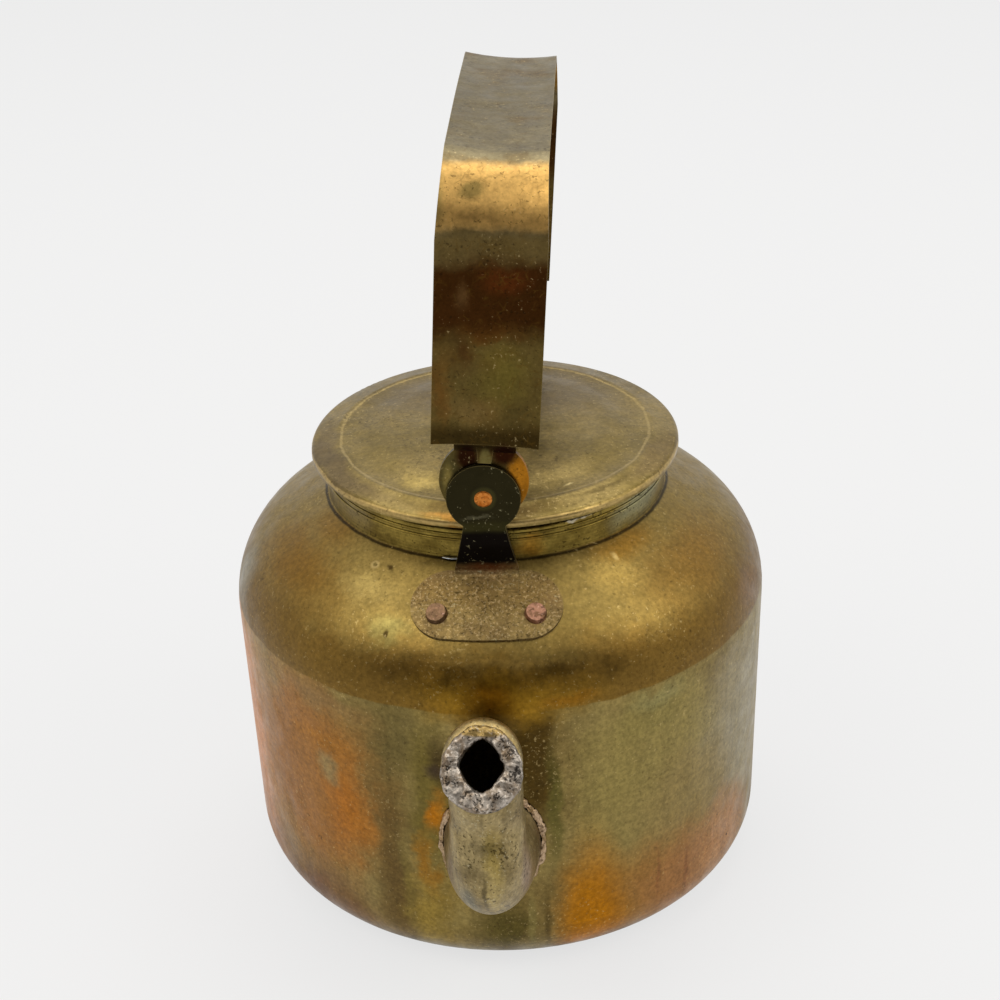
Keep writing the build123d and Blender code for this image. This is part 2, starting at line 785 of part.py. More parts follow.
# Handle strap: dished section swept up one leg, over the top and down the other
strap_top_height = hinge_height + strap_rise
section_plane = Plane(origin=(0, -leg_middle, strap_foot_height), x_dir=(1, 0, 0), z_dir=(0, 0, 1))
with BuildPart() as handle_strap:
    with BuildLine(Plane.YZ) as strap_path:
        FilletPolyline(
            (-leg_middle, strap_foot_height),
            (-leg_middle, strap_top_height),
            (0, strap_top_height + strap_crown),
            (leg_middle, strap_top_height),
            (leg_middle, strap_foot_height),
            radius=(strap_corner_bend, strap_crown_bend, strap_corner_bend),
        )
    with BuildSketch(section_plane):
        with BuildLine():
            ThreePointArc((-strap_width / 2, -strap_dish), (0, 0), (strap_width / 2, -strap_dish))
            offset(amount=strap_sheet / 2)
        make_face()
    sweep(path=strap_path.line)
    with BuildSketch(Plane.XZ.offset(-body_radius)):
        with BuildLine():
            narrow_height = strap_top_height - strap_corner_bend
            Polyline(
                (-strap_width / 2, hinge_height),
                (-strap_width / 2, narrow_height),
                (-strap_top_width / 2, strap_top_height),
                (-strap_top_width / 2, strap_top_height + strap_corner_bend),
                (strap_top_width / 2, strap_top_height + strap_corner_bend),
                (strap_top_width / 2, strap_top_height),
                (strap_width / 2, narrow_height),
                (strap_width / 2, hinge_height),
                close=True,
            )
        make_face()
    extrude(amount=body_radius * 2, mode=Mode.INTERSECT)
    add(handle_lug.part)
    mirror(handle_lug.part, about=Plane.XZ)
handle_strap.part = handle_strap.part.rotate(hinge_axis, handle_lean)

pieces = {
    "body_shell": body_shell,
    "base_disc": base_disc,
    "base_solder_seam": base_solder_seam,
    "neck_ring": neck_ring,
    "neck_solder_seam": neck_solder_seam,
    "spout": spout,
    "spout_rim": spout_rim,
    "spout_solder_bead": spout_solder_bead,
    "front_bracket": front_bracket,
    "rear_bracket": rear_bracket,
    "front_bracket_rivets": front_bracket_rivets,
    "rear_bracket_rivets": rear_bracket_rivets,
    "front_rivet_roves": front_rivet_roves,
    "rear_rivet_roves": rear_rivet_roves,
    "front_pivot_pin": front_pivot_pin,
    "rear_pivot_pin": rear_pivot_pin,
    "front_pivot_washer": front_pivot_washer,
    "rear_pivot_washer": rear_pivot_washer,
    "handle_strap": handle_strap,
    "lid_disc": lid_disc,
    "lid_skirt": lid_skirt,
    "lid_knob": lid_knob,
    "lid_knob_rove": lid_knob_rove,
}
for name, piece in pieces.items():
    piece.part.label = name
    export_step(piece.part, f"parts/{name}.step")
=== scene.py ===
"""Old brass tea kettle: dressed sheet metal, wiped tin and solder, studio and camera.

Everything is in metres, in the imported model's own frame: +Z is up and the spout points along -Y.
Sizes that belong to the kettle are written in millimetres and turned to metres by one function.
"""
import logging
import math
from dataclasses import dataclass
from enum import Enum
from typing import Any, ClassVar

import bmesh
import bpy
from mathutils import Matrix, Vector, noise


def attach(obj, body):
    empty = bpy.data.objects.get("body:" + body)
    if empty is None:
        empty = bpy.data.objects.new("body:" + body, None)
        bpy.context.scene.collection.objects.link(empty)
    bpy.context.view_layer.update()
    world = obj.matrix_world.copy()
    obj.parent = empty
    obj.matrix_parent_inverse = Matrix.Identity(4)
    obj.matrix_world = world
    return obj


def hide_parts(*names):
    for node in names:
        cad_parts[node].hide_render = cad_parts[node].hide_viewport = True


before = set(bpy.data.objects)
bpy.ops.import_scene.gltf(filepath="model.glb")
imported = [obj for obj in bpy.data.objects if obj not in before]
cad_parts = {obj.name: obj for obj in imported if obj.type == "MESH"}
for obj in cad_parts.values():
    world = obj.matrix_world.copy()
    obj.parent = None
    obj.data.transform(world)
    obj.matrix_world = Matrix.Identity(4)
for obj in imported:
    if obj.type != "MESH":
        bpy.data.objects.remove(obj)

LOG = logging.getLogger("kettle")
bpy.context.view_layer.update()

# Radius of the wall, which turns an angle round the kettle into a length along the wall
WALL_RADIUS_MM = 74.7
# Reach of a stain that has no end in a direction
ANY = 1000.0
# Noise values between which nearly all of a pattern lies, and how rough the pattern is
NOISE_LOW = 0.3
NOISE_HIGH = 0.7
NOISE_ROUGHNESS = 0.6
# Vertices closer than this are merged
MERGE_MM = 0.002
# Angle in degrees from which the edges of cut and folded sheet stay sharp
SHEET_CRISP = 32.0

# One size for all directions, or one for each
Size = float | tuple[float, float, float]
Socket = bpy.types.NodeSocket
Form = bmesh.types.BMesh


def metres(value_mm: float) -> float:
    """Millimetres to metres."""
    return value_mm / 1000.0


def linear(hex_colour: str) -> tuple[float, float, float, float]:
    """Linear RGBA of an sRGB hex colour.

    Args:
        hex_colour: a hash mark and six hex digits.

    Returns:
        The colour's linear red, green and blue, and an alpha of 1.
    """
    digits = hex_colour.lstrip("#")
    parts = [int(digits[start : start + 2], 16) / 255.0 for start in (0, 2, 4)]
    red, green, blue = ((p / 12.92) if p <= 0.04045 else ((p + 0.055) / 1.055) ** 2.4 for p in parts)
    return red, green, blue, 1.0


def add_node(
    tree: bpy.types.NodeTree,
    kind: str,
    inputs: dict[Any, Any] | None = None,
    out: Any = 0,
    **settings: Any,
) -> Any:
    """Adds one node, sets it up and links what feeds it.

    Args:
        tree: the node tree that takes the node.
        kind: the node's type, as Blender names it.
        inputs: value or output socket for each input, by name or number.
        out: name or number of the output to return, or None for all of them.
        **settings: properties of the node itself.

    Returns:
        The output socket asked for, or the node's outputs.
    """
    node = tree.nodes.new(kind)
    for name, value in settings.items():
        setattr(node, name, value)
    for key, value in (inputs or {}).items():
        socket = node.inputs[key]
        if isinstance(value, Socket):
            tree.links.new(value, socket)
        else:
            socket.default_value = value
    if out is None:
        return node.outputs
    return node.outputs[out]


def emptied_tree(owner: Any) -> bpy.types.NodeTree:
    """The node tree of a new material or world, emptied."""
    owner.use_nodes = True
    owner.node_tree.nodes.clear()
    return owner.node_tree


class Layout(Enum):
    """Which coordinates place a layer of a finish."""

    STRAIGHT = "the kettle's own x, y and z"
    UNROLLED = "length round the wall from the spout, distance from the axis, and height"
    SECTION = "distance from the axis and height alone, the same all the way round"


class Fade(Enum):
    """How a layer fades in, as Blender names it."""

    EVEN = "LINEAR"
    SOFT = "SMOOTHSTEP"


class Ground:
    """The coordinates of one material, in metres, and the noise that wears its edges."""

    wander_mm: ClassVar[float] = 14.0
    wander_spread: ClassVar[float] = 4.0

    def __init__(self, tree: bpy.types.NodeTree) -> None:
        """Adds the coordinates to a node tree.

        Args:
            tree: the material's node tree.
        """
        self.tree = tree
        straight = add_node(tree, "ShaderNodeTexCoord", out="Object")
        axes = add_node(tree, "ShaderNodeSeparateXYZ", {0: straight}, out=None)
        forward = add_node(tree, "ShaderNodeMath", {0: axes[1], 1: -1.0}, operation="MULTIPLY")
        turn = add_node(tree, "ShaderNodeMath", {0: axes[0], 1: forward}, operation="ARCTAN2")
        arc = add_node(tree, "ShaderNodeMath", {0: turn, 1: metres(WALL_RADIUS_MM)}, operation="MULTIPLY")
        flat = add_node(tree, "ShaderNodeCombineXYZ", {0: axes[0], 1: axes[1]})
        radius = add_node(tree, "ShaderNodeVectorMath", {0: flat}, out="Value", operation="LENGTH")
        self.places = {
            Layout.STRAIGHT: straight,
            Layout.UNROLLED: add_node(tree, "ShaderNodeCombineXYZ", {0: arc, 1: radius, 2: axes[2]}),
            Layout.SECTION: add_node(tree, "ShaderNodeCombineXYZ", {1: radius, 2: axes[2]}),
        }
        inputs = {"Vector": straight, "Scale": 1.0 / metres(self.wander_mm), "Detail": 9.0, "Roughness": 0.66}
        drift = add_node(tree, "ShaderNodeTexNoise", inputs, out="Color")
        spread = {0: drift, 1: (self.wander_spread,) * 3, 2: (-self.wander_spread / 2,) * 3}
        self.wander = add_node(tree, "ShaderNodeVectorMath", spread, operation="MULTIPLY_ADD")

    def pattern(self, size_mm: Size, detail: float = 4.0, layout: Layout = Layout.STRAIGHT) -> Socket:
        """Noise whose features have a size of their own along each direction.

        Args:
            size_mm: features' size along the directions of the layout.
            detail: how many finer layers the noise has.
            layout: the coordinates that the noise follows.

        Returns:
            A value from 0 to 1.
        """
        sizes = size_mm if isinstance(size_mm, tuple) else (size_mm,) * 3
        inputs = {0: self.places[layout], 1: tuple(1.0 / metres(size) for size in sizes)}
        scaled = add_node(self.tree, "ShaderNodeVectorMath", inputs, operation="MULTIPLY")
        inputs = {"Vector": scaled, "Scale": 1.0, "Detail": detail, "Roughness": NOISE_ROUGHNESS}
        return add_node(self.tree, "ShaderNodeTexNoise", inputs)

    def moved(self, distance_mm: float, layout: Layout) -> Socket:
        """The coordinates of a layout, moved by the wandering noise over a distance."""
        inputs = {0: self.wander, 1: (metres(distance_mm),) * 3, 2: self.places[layout]}
        return add_node(self.tree, "ShaderNodeVectorMath", inputs, operation="MULTIPLY_ADD")


@dataclass(frozen=True)
class Layer:
    """A layer of one colour, which covers by a share what is under it.

    Each kind has a measure, values of it at which the layer starts and is full, and a strength.

    Attributes:
        colour: its sRGB hex colour.
        fade: how it fades in between the two values.
    """

    colour: str
    fade: ClassVar[Fade] = Fade.EVEN

    def measure(self, ground: Ground) -> Socket:
        """What decides from place to place how much the layer covers.

        Args:
            ground: the material's coordinates.

        Returns:
            The value that the layer starts and is full at.
        """
        raise NotImplementedError

    def limits(self) -> tuple[float, float]:
        """Values of the measure at which the layer starts and is full."""
        return self.start, self.full

    def share(self, ground: Ground) -> Socket:
        """How much the layer covers, up to its strength."""
        start, full = self.limits()
        inputs = {"Value": self.measure(ground), 1: start, 2: full, 3: 0.0, 4: self.strength}
        return add_node(ground.tree, "ShaderNodeMapRange", inputs, interpolation_type=self.fade.value)

    def lay(self, ground: Ground, under: Any) -> Socket:
        """The colour under this layer, with this layer over it."""
        inputs = {0: self.share(ground), 6: under, 7: linear(self.colour)}
        return add_node(ground.tree, "ShaderNodeMix", inputs, out=2, data_type="RGBA")


@dataclass(frozen=True)
class Clouds(Layer):
    """Tarnish that comes and goes over the whole surface, where a noise of its size is high."""

    size_mm: Size
    start: float = 0.4
    full: float = 0.64
    strength: float = 1.0
    fade: ClassVar[Fade] = Fade.SOFT

    def measure(self, ground: Ground) -> Socket:
        """Noise with many finer layers."""
        return ground.pattern(self.size_mm, detail=7.0)


@dataclass(frozen=True)
class Stain(Layer):
    """One stain: an ellipsoid in millimetres whose edge is worn by noise.

    Attributes:
        centre: its middle in its layout.
        reach: its half size along each direction of the layout.
        strength: how much of what is under it it covers.
        softness: the share of its reach over which it fades out.
        ragged_mm: how far noise moves its edge.
        layout: the coordinates that place it.
    """

    centre: tuple[float, float, float]
    reach: tuple[float, float, float]
    strength: float = 0.9
    softness: float = 0.7
    ragged_mm: float = 5.0
    layout: Layout = Layout.UNROLLED
    fade: ClassVar[Fade] = Fade.SOFT

    def limits(self) -> tuple[float, float]:
        """Its edge, and where it has faded in."""
        return 1.0, 1.0 - self.softness

    def measure(self, ground: Ground) -> Socket:
        """Distance from its middle, as a share of its reach."""
        inputs = {0: ground.moved(self.ragged_mm, self.layout), 1: tuple(map(metres, self.centre))}
        offset = add_node(ground.tree, "ShaderNodeVectorMath", inputs, operation="SUBTRACT")
        inputs = {0: offset, 1: tuple(map(metres, self.reach))}
        scaled = add_node(ground.tree, "ShaderNodeVectorMath", inputs, operation="DIVIDE")
        return add_node(ground.tree, "ShaderNodeVectorMath", {0: scaled}, out="Value", operation="LENGTH")


@dataclass(frozen=True)
class Specks(Layer):
    """Small uneven pits or worn bright points, thicker in some patches than in others.

    Attributes:
        size_mm: size of the noise that they are cut from; each speck is about half of it.
        start: noise value above which a speck shows: higher leaves fewer of them.
        strength: how much they cover.
        patch_mm: size of the patches that they gather in.
        gather: how much the patches raise and lower the noise.
        edge: range of noise over which a speck fades in.
    """

    size_mm: float
    start: float = 0.62
    strength: float = 0.8
    patch_mm: float = 18.0
    gather: float = 0.5
    edge: ClassVar[float] = 0.05

    def limits(self) -> tuple[float, float]:
        """The start, with what the patches add on average, and an edge's range above it."""
        start = self.start + self.gather / 2
        return start, start + self.edge

    def measure(self, ground: Ground) -> Socket:
        """Fine noise, raised by the patches."""
        patch = ground.pattern(self.patch_mm, detail=5.0)
        inputs = {0: patch, 1: self.gather, 2: ground.pattern(self.size_mm, detail=3.0)}
        return add_node(ground.tree, "ShaderNodeMath", inputs, operation="MULTIPLY_ADD")


@dataclass(frozen=True)
class Crazing(Layer):
    """Fine lines: scratches where they are far apart, crazed scale where they are close.

    Attributes:
        spacing_mm: distance between lines.
        width_mm: their width.
        strength: how much they cover where they are strongest.
        start: noise value at which a patch of them starts.
        full: noise value at which it is full.
        patch: size of the patches, as a share of the spacing.
        wander: how far the lines stray, as a share of the spacing.
    """

    spacing_mm: float
    width_mm: float = 0.12
    strength: float = 0.5
    start: ClassVar[float] = 0.5
    full: ClassVar[float] = 0.66
    patch: ClassVar[float] = 1.5
    wander: ClassVar[float] = 0.35

    def measure(self, ground: Ground) -> Socket:
        """Noise that makes the patches."""
        return ground.pattern(self.spacing_mm * self.patch)

    def share(self, ground: Ground) -> Socket:
        """How much the lines cover, where they run within their patches."""
        moved = ground.moved(self.spacing_mm * self.wander, Layout.STRAIGHT)
        inputs = {"Vector": moved, "Scale": 1.0 / metres(self.spacing_mm)}
        cells = {"out": "Distance", "feature": "DISTANCE_TO_EDGE"}
        distance = add_node(ground.tree, "ShaderNodeTexVoronoi", inputs, **cells)
        inputs = {"Value": distance, 1: self.width_mm / self.spacing_mm, 2: 0.0, 3: 0.0, 4: 1.0}
        inputs = {0: add_node(ground.tree, "ShaderNodeMapRange", inputs), 1: super().share(ground)}
        return add_node(ground.tree, "ShaderNodeMath", inputs, operation="MULTIPLY")


@dataclass(frozen=True)
class GrimeAndShade(Layer):
    """Old polish and soot in the corners where pieces meet, with painted shade there, by the share of open
    sky.

    Attributes:
        reach_mm: how far it spreads from the corner.
        strength: how much it covers in the corner.
    """

    colour: str = "#171006"
    reach_mm: float = 3.0
    strength: float = 0.85
    start: ClassVar[float] = 0.72
    full: ClassVar[float] = 0.22

    def measure(self, ground: Ground) -> Socket:
        """Share of open sky over the surface."""
        inputs = {"Distance": metres(self.reach_mm)}
        return add_node(ground.tree, "ShaderNodeAmbientOcclusion", inputs, out="AO", samples=8)


@dataclass(frozen=True)
class RubbedEdge(Layer):
    """Bright metal along edges that hands and cloths rub, by the turn of a rounded edge.

    Attributes:
        width_mm: how far it goes from the edge.
        strength: how much it covers.
    """

    width_mm: float = 0.5
    strength: float = 0.6
    start: ClassVar[float] = 0.97
    full: ClassVar[float] = 0.8

    def measure(self, ground: Ground) -> Socket:
        """Cosine between the surface's own normal and the one that a rounded edge would have."""
        flat = add_node(ground.tree, "ShaderNodeNewGeometry", out="Normal")
        rounded = add_node(ground.tree, "ShaderNodeBevel", {"Radius": metres(self.width_mm)}, samples=6)
        inputs = {0: flat, 1: rounded}
        return add_node(ground.tree, "ShaderNodeVectorMath", inputs, out="Value", operation="DOT_PRODUCT")


@dataclass(frozen=True)
class Grain:
    """Lighter and darker grit, streaks or tool lines, by their size.

    Attributes:
        size_mm: features' size.
        amount: how far it lightens and darkens the colour.
        layout: the coordinates that it follows.
    """

    size_mm: Size
    amount: float
    layout: Layout = Layout.STRAIGHT

    def lay(self, ground: Ground, under: Any) -> Socket:
        """The colour under the grain, made lighter and darker."""
        pattern = ground.pattern(self.size_mm, layout=self.layout)
        inputs = {"Value": pattern, 1: NOISE_LOW, 2: NOISE_HIGH, 3: 1.0 - self.amount, 4: 1.0 + self.amount}
        inputs = {0: 1.0, 6: under, 7: add_node(ground.tree, "ShaderNodeMapRange", inputs)}
        return add_node(ground.tree, "ShaderNodeMix", inputs, out=2, data_type="RGBA", blend_type="MULTIPLY")


@dataclass(frozen=True)
class Bump:
    """Unevenness of the surface, by its size and its height.

    Attributes:
        size_mm: features' size.
        height_mm: their height.
        layout: the coordinates that they follow.
    """

    size_mm: Size
    height_mm: float
    layout: Layout = Layout.STRAIGHT

    def raise_on(self, ground: Ground, normal: Any) -> Socket:
        """The normal with this unevenness on it.

        Args:
            ground: the material's coordinates.
            normal: the normal so far, or None for the mesh's own.

        Returns:
            The new normal.
        """
        pattern = ground.pattern(self.size_mm, detail=3.0, layout=self.layout)
        inputs = {"Height": pattern, "Distance": metres(self.height_mm), "Strength": 1.0}
        if normal is not None:
            inputs["Normal"] = normal
        return add_node(ground.tree, "ShaderNodeBump", inputs)


@dataclass(frozen=True)
class Finish:
    """A worked and aged metal surface.

    Attributes:
        name: what the surface is.
        metal: the clean metal's sRGB hex colour, under every layer.
        layers: what lies over it, each over the ones before it.
        bumps: its unevenness.
        roughness: lowest and highest roughness.
        polish_mm: size of the patches that differ in roughness.
        metallic: share of bare metal at the surface.
    """

    name: str
    metal: str
    layers: tuple[Layer | Grain, ...]
    bumps: tuple[Bump, ...]
    roughness: tuple[float, float] = (0.3, 0.5)
    polish_mm: float = 6.0
    metallic: float = 1.0

    def build(self) -> bpy.types.Material:
        """Makes the material.

        Returns:
            The new material, with its colour, roughness and bump from nodes.
        """
        material = bpy.data.materials.new(self.name)
        tree = emptied_tree(material)
        ground = Ground(tree)
        colour: Any = linear(self.metal)
        for layer in self.layers:
            colour = layer.lay(ground, colour)
        normal = None
        for bump in self.bumps:
            normal = bump.raise_on(ground, normal)
        smooth, rough = self.roughness
        pattern = ground.pattern(self.polish_mm, detail=6.0)
        inputs = {"Value": pattern, 1: NOISE_LOW, 2: NOISE_HIGH, 3: smooth, 4: rough}
        roughness = add_node(tree, "ShaderNodeMapRange", inputs)
        inputs = {"Base Color": colour, "Roughness": roughness, "Metallic": self.metallic, "Normal": normal}
        shader = add_node(tree, "ShaderNodeBsdfPrincipled", inputs)
        add_node(tree, "ShaderNodeOutputMaterial", {"Surface": shader}, out=None)
        return material


def stains(layout: Layout, *rows: tuple[Any, ...]) -> tuple[Stain, ...]:
    """Stains that share a layout, each from a row of a stain's own values."""
    return tuple(Stain(*row, layout=layout) for row in rows)


# Wall: the heat's pinks and oranges round the kettle, the dark streaks by the spout with a painted shadow of
# the spout at its right, a painted highlight on the bend below the sharp line, tarnish, and darker towards
# the bottom
WALL_STAINS = stains(
    Layout.UNROLLED,
    ("#C6844E", (-100, 75, 52), (36, ANY, 60), 0.95, 0.7, 7),
    ("#97662C", (-56, 75, 54), (34, ANY, 46), 0.95, 0.6, 6),
    ("#A8681E", (-42, 75, 50), (13, ANY, 24), 0.75, 0.9),
    ("#A06A20", (-52, 75, 68), (16, ANY, 6), 0.6, 0.9, 4),
    ("#8E8054", (-47, 75, 61), (8, ANY, 6), 0.7, 0.9),
    ("#8A6C40", (-48, 75, 82), (22, ANY, 6), 0.7, 0.9, 4),
    ("#A8744E", (-88, 75, 18), (26, ANY, 24), 0.7, 0.8),
    ("#6E4628", (-58, 75, 8), (42, ANY, 22), 0.85, 0.9, 6),
    ("#5E4824", (-28, 75, 32), (8, ANY, 46), 0.85, 0.9, 4),
    ("#645730", (-25, 75, 77), (10, ANY, 19), 0.75, 0.9),
    ("#6B5D2A", (-16, 75, 60), (9, ANY, 36), 0.85, 0.7, 4),
    ("#8C7432", (-18, 75, 20), (11, ANY, 24), 0.85, 0.8),
    ("#6A5C2C", (-24, 75, 30), (2.6, ANY, 22), 0.5, 0.9, 2.4),
    ("#463820", (-12.5, 75, 71), (5, ANY, 13), 0.85, 0.8, 2),
    ("#3A2C2C", (-15, 75, 68), (4, ANY, 4), 0.6, 0.9, 2),
    ("#B26E12", (-15, 75, 55), (4, ANY, 9), 0.85, 0.95, 4),
    ("#96661C", (-17.5, 75, 38), (4.4, ANY, 15), 0.75, 0.95),
    # Painted shadow of the spout on the wall at its right.
    ("#46330F", (12, 75, 72), (8, ANY, 26), 0.9, 0.6, 3),
    ("#5C5628", (16.5, 75, 56), (3.4, ANY, 26), 0.75, 0.8, 2.4),
    ("#8C7C46", (48, 75, 60), (32, ANY, 34), 0.9, 0.5),
    ("#867842", (44, 75, 78), (20, ANY, 9), 0.6, 0.9),
    ("#958A6C", (84, 75, 58), (28, ANY, 38), 0.85, 0.8),
    ("#50461E", (2, 75, 16), (13, ANY, 15), 0.85, 0.8),
    ("#7C7040", (10, 75, 18), (1.8, ANY, 14), 0.6, 0.7, 1),
    ("#8E6C3C", (50, 75, 14), (34, ANY, 34), 0.85, 0.8),
    ("#96682A", (60, 75, 0), (46.5, ANY, 47), 0.6, 0.3, 2),
    ("#8A7646", (58, 75, 46), (30, ANY, 22), 0.8, 0.8),
    ("#A66A0A", (27, 75, 12), (14, ANY, 43), 0.95, 0.75, 2),
    ("#96683C", (56, 75, 18), (22, ANY, 24), 0.8, 0.9),
    ("#AA7C50", (76, 75, 20), (22, ANY, 22), 0.85, 0.9, 6),
    ("#3A2C10", (14.4, 75, 18), (1.6, ANY, 16), 0.55, 0.9, 1),
    ("#7C4C2C", (48, 75, 24), (0.9, ANY, 13), 0.5, 0.9, 1.6),
    ("#7C4C2C", (58, 75, 20), (1.3, ANY, 12), 0.5, 0.9, 1.6),
    ("#C48E60", (70, 75, 24), (0.8, ANY, 10), 0.45, 0.9, 1.4),
    # Painted highlight on the bend just below the sharp line, at the right.
    ("#928A58", (47, 75, 82.5), (13, ANY, 4.5), 0.6, 0.9, 4),
    ("#9C7048", (150, 75, 40), (44, ANY, 46)),
    ("#6E6E4C", (200, 75, 60), (28, ANY, 34)),
    ("#A8743C", (-165, 75, 36), (44, ANY, 40)),
    # Darker towards the bottom all round.
    ("#46361A", (0, 75, 0), (ANY, ANY, 10), 0.8, 0.9),
)

# Shoulder, over the wall's colours down to the sharp line: its khaki, lighter towards the top as partly
# painted light; painted highlights left and right of the front bracket; painted shade towards the sides; and
# a painted shadow at the neck's foot
SHOULDER_STAINS = stains(
    Layout.UNROLLED,
    # The shoulder's own khaki, left darker in a low band above the sharp line and lighter towards the top:
    # partly the metal's colour, partly painted shade and light.
    ("#755A28", (0, 75, 106.7), (ANY, ANY, 20), 1, 0.03, 0.5),
    ("#85703C", (0, 75, 114), (ANY, ANY, 18), 0.95, 0.6, 4),
    ("#96701F", (4, 75, 91), (34, ANY, 11), 0.9, 0.9, 4),
    ("#90621A", (21, 75, 88.8), (11, ANY, 3), 0.7, 0.9, 2),
    ("#8E8C7A", (-100, 75, 95), (14, ANY, 12), 0.5, 0.8, 3),
    ("#84664C", (94, 75, 93), (14, ANY, 8), 0.5, 0.8, 3),
    ("#7E5A20", (-76, 50, 115), (24, 6, 6), 0.6, 0.8, 3),
    ("#8C6420", (58, 50, 115), (24, 6, 6), 0.7, 0.8, 3),
    # Painted shade on the shoulder towards the left and right sides.
    ("#78541A", (-74, 62, 108), (40, 16, 14), 0.75, 0.9),
    ("#845E24", (78, 62, 108), (40, 16, 14), 0.6, 0.9),
    ("#5A4B20", (-8, 47, 116), (46, 5, 4), 0.7, 0.8, 2),
    # Painted highlight on the shoulder left of the front bracket.
    ("#AE9656", (-42, 58, 110), (16, 9, 8), 0.7, 0.9),
    ("#8E8850", (-29, 66, 104), (9, 7, 6), 0.5, 0.8, 4),
    # Painted highlight on the shoulder right of the front bracket, with a painted glint in it.
    ("#B0924C", (47, 55, 110), (17, 9, 8), 0.6, 0.9, 4),
    ("#D8BC78", (51, 51, 113), (2.2, 2, 2.2), 0.6, 0.9, 1.6),
    ("#9C7E40", (4, 69.5, 99.5), (24, ANY, 1.5), 0.6, 0.9, 1.4),
    ("#C4AC74", (-45, 52.6, 113.4), (2.7, 1.7, 1.6), 0.5, 0.6, 0.9),
    ("#6B5A2C", (-45, 52.6, 113.4), (1.6, 1, 1), 0.8, 0.5, 0.7),
    ("#33240E", (-38, 52.2, 113.6), (2.6, 1.3, 1.4), 0.85, 0.8, 1.6),
    ("#3A2C14", (-29.5, 67, 103.2), (1.2, 1.3, 1.3), 0.9, 0.6, 1.2),
    # Painted shadow in the gap at the neck's foot.
    ("#1C1408", (0, 47.5, 116), (ANY, 0.65, ANY), 0.85, 0.8, 0.3),
)

# Spun brass sheet, heated on a stove for years: the wall went pink, orange and purple where the heat
# coloured it and grey-green where it tarnished, down from a sharp line below the shoulder's bend.
BODY_BRASS = Finish(
    name="spun_brass_body",
    metal="#8C7A48",
    layers=(
        Clouds("#776438", (24, 24, 30)),
        *WALL_STAINS,
        Specks("#C49C68", 1.0, 0.68, 0.16, 30.0, 0.3),
        Grain((3.4, 3.4, 60), 0.08),
        *SHOULDER_STAINS,
        Specks("#CDB47A", 0.9, 0.64, 0.3, 24.0, 0.3),
        Specks("#3A2B12", 1.0, 0.64, 0.42, 22.0, 0.3),
        Specks("#2A1D0C", 3.0, 0.76, 0.8, 40.0),
        Crazing("#4A3A1C", 26.0, 0.16, 0.45),
        Grain(1.1, 0.24),
        Grain(3.5, 0.08),
        Grain((1.0, 0.9, 0.9), 0.06, Layout.SECTION),
        GrimeAndShade(reach_mm=3.5),
    ),
    bumps=(Bump(30, 0.6), Bump(6, 0.06), Bump(0.9, 0.03)),
    roughness=(0.3, 0.5),
)

# Turned brass ring, with the tool's lines still round it, green-gold tarnish and a painted shadow at its
# foot.
NECK_BRASS = Finish(
    name="turned_brass_neck",
    metal="#8E7A3A",
    layers=(
        Clouds("#6E5C28", (9, 9, 5)),
        Stain("#989878", (76, 47, 121), (28, ANY, 6), 0.7, 0.8, 3.0),
        Stain("#8E7E56", (-66, 47, 121), (16, ANY, 6), 0.6, 0.8, 3.0),
        Stain("#986C22", (18, 47, 119), (10, ANY, 4), 0.7, 0.95, 4.0),
        Stain("#BDB6A2", (36, 47, 125.2), (12, ANY, 0.9), 0.8, 0.5, 1.6),
        Grain((1.0, 0.7, 0.7), 0.3, Layout.SECTION),
        Grain(1.1, 0.28),
        # Painted shadow in the gap at the neck's foot.
        Stain("#1A1206", (0, 47, 115.6), (ANY, ANY, 1.1), 0.8, 0.8, 0.3),
        Specks("#2A200C", 1.1, 0.62, 0.7, 10.0),
        GrimeAndShade(reach_mm=2.0, strength=0.9),
    ),
    bumps=(Bump(14, 0.15), Bump((1.0, 0.7, 0.7), 0.06, Layout.SECTION), Bump(0.9, 0.03)),
)

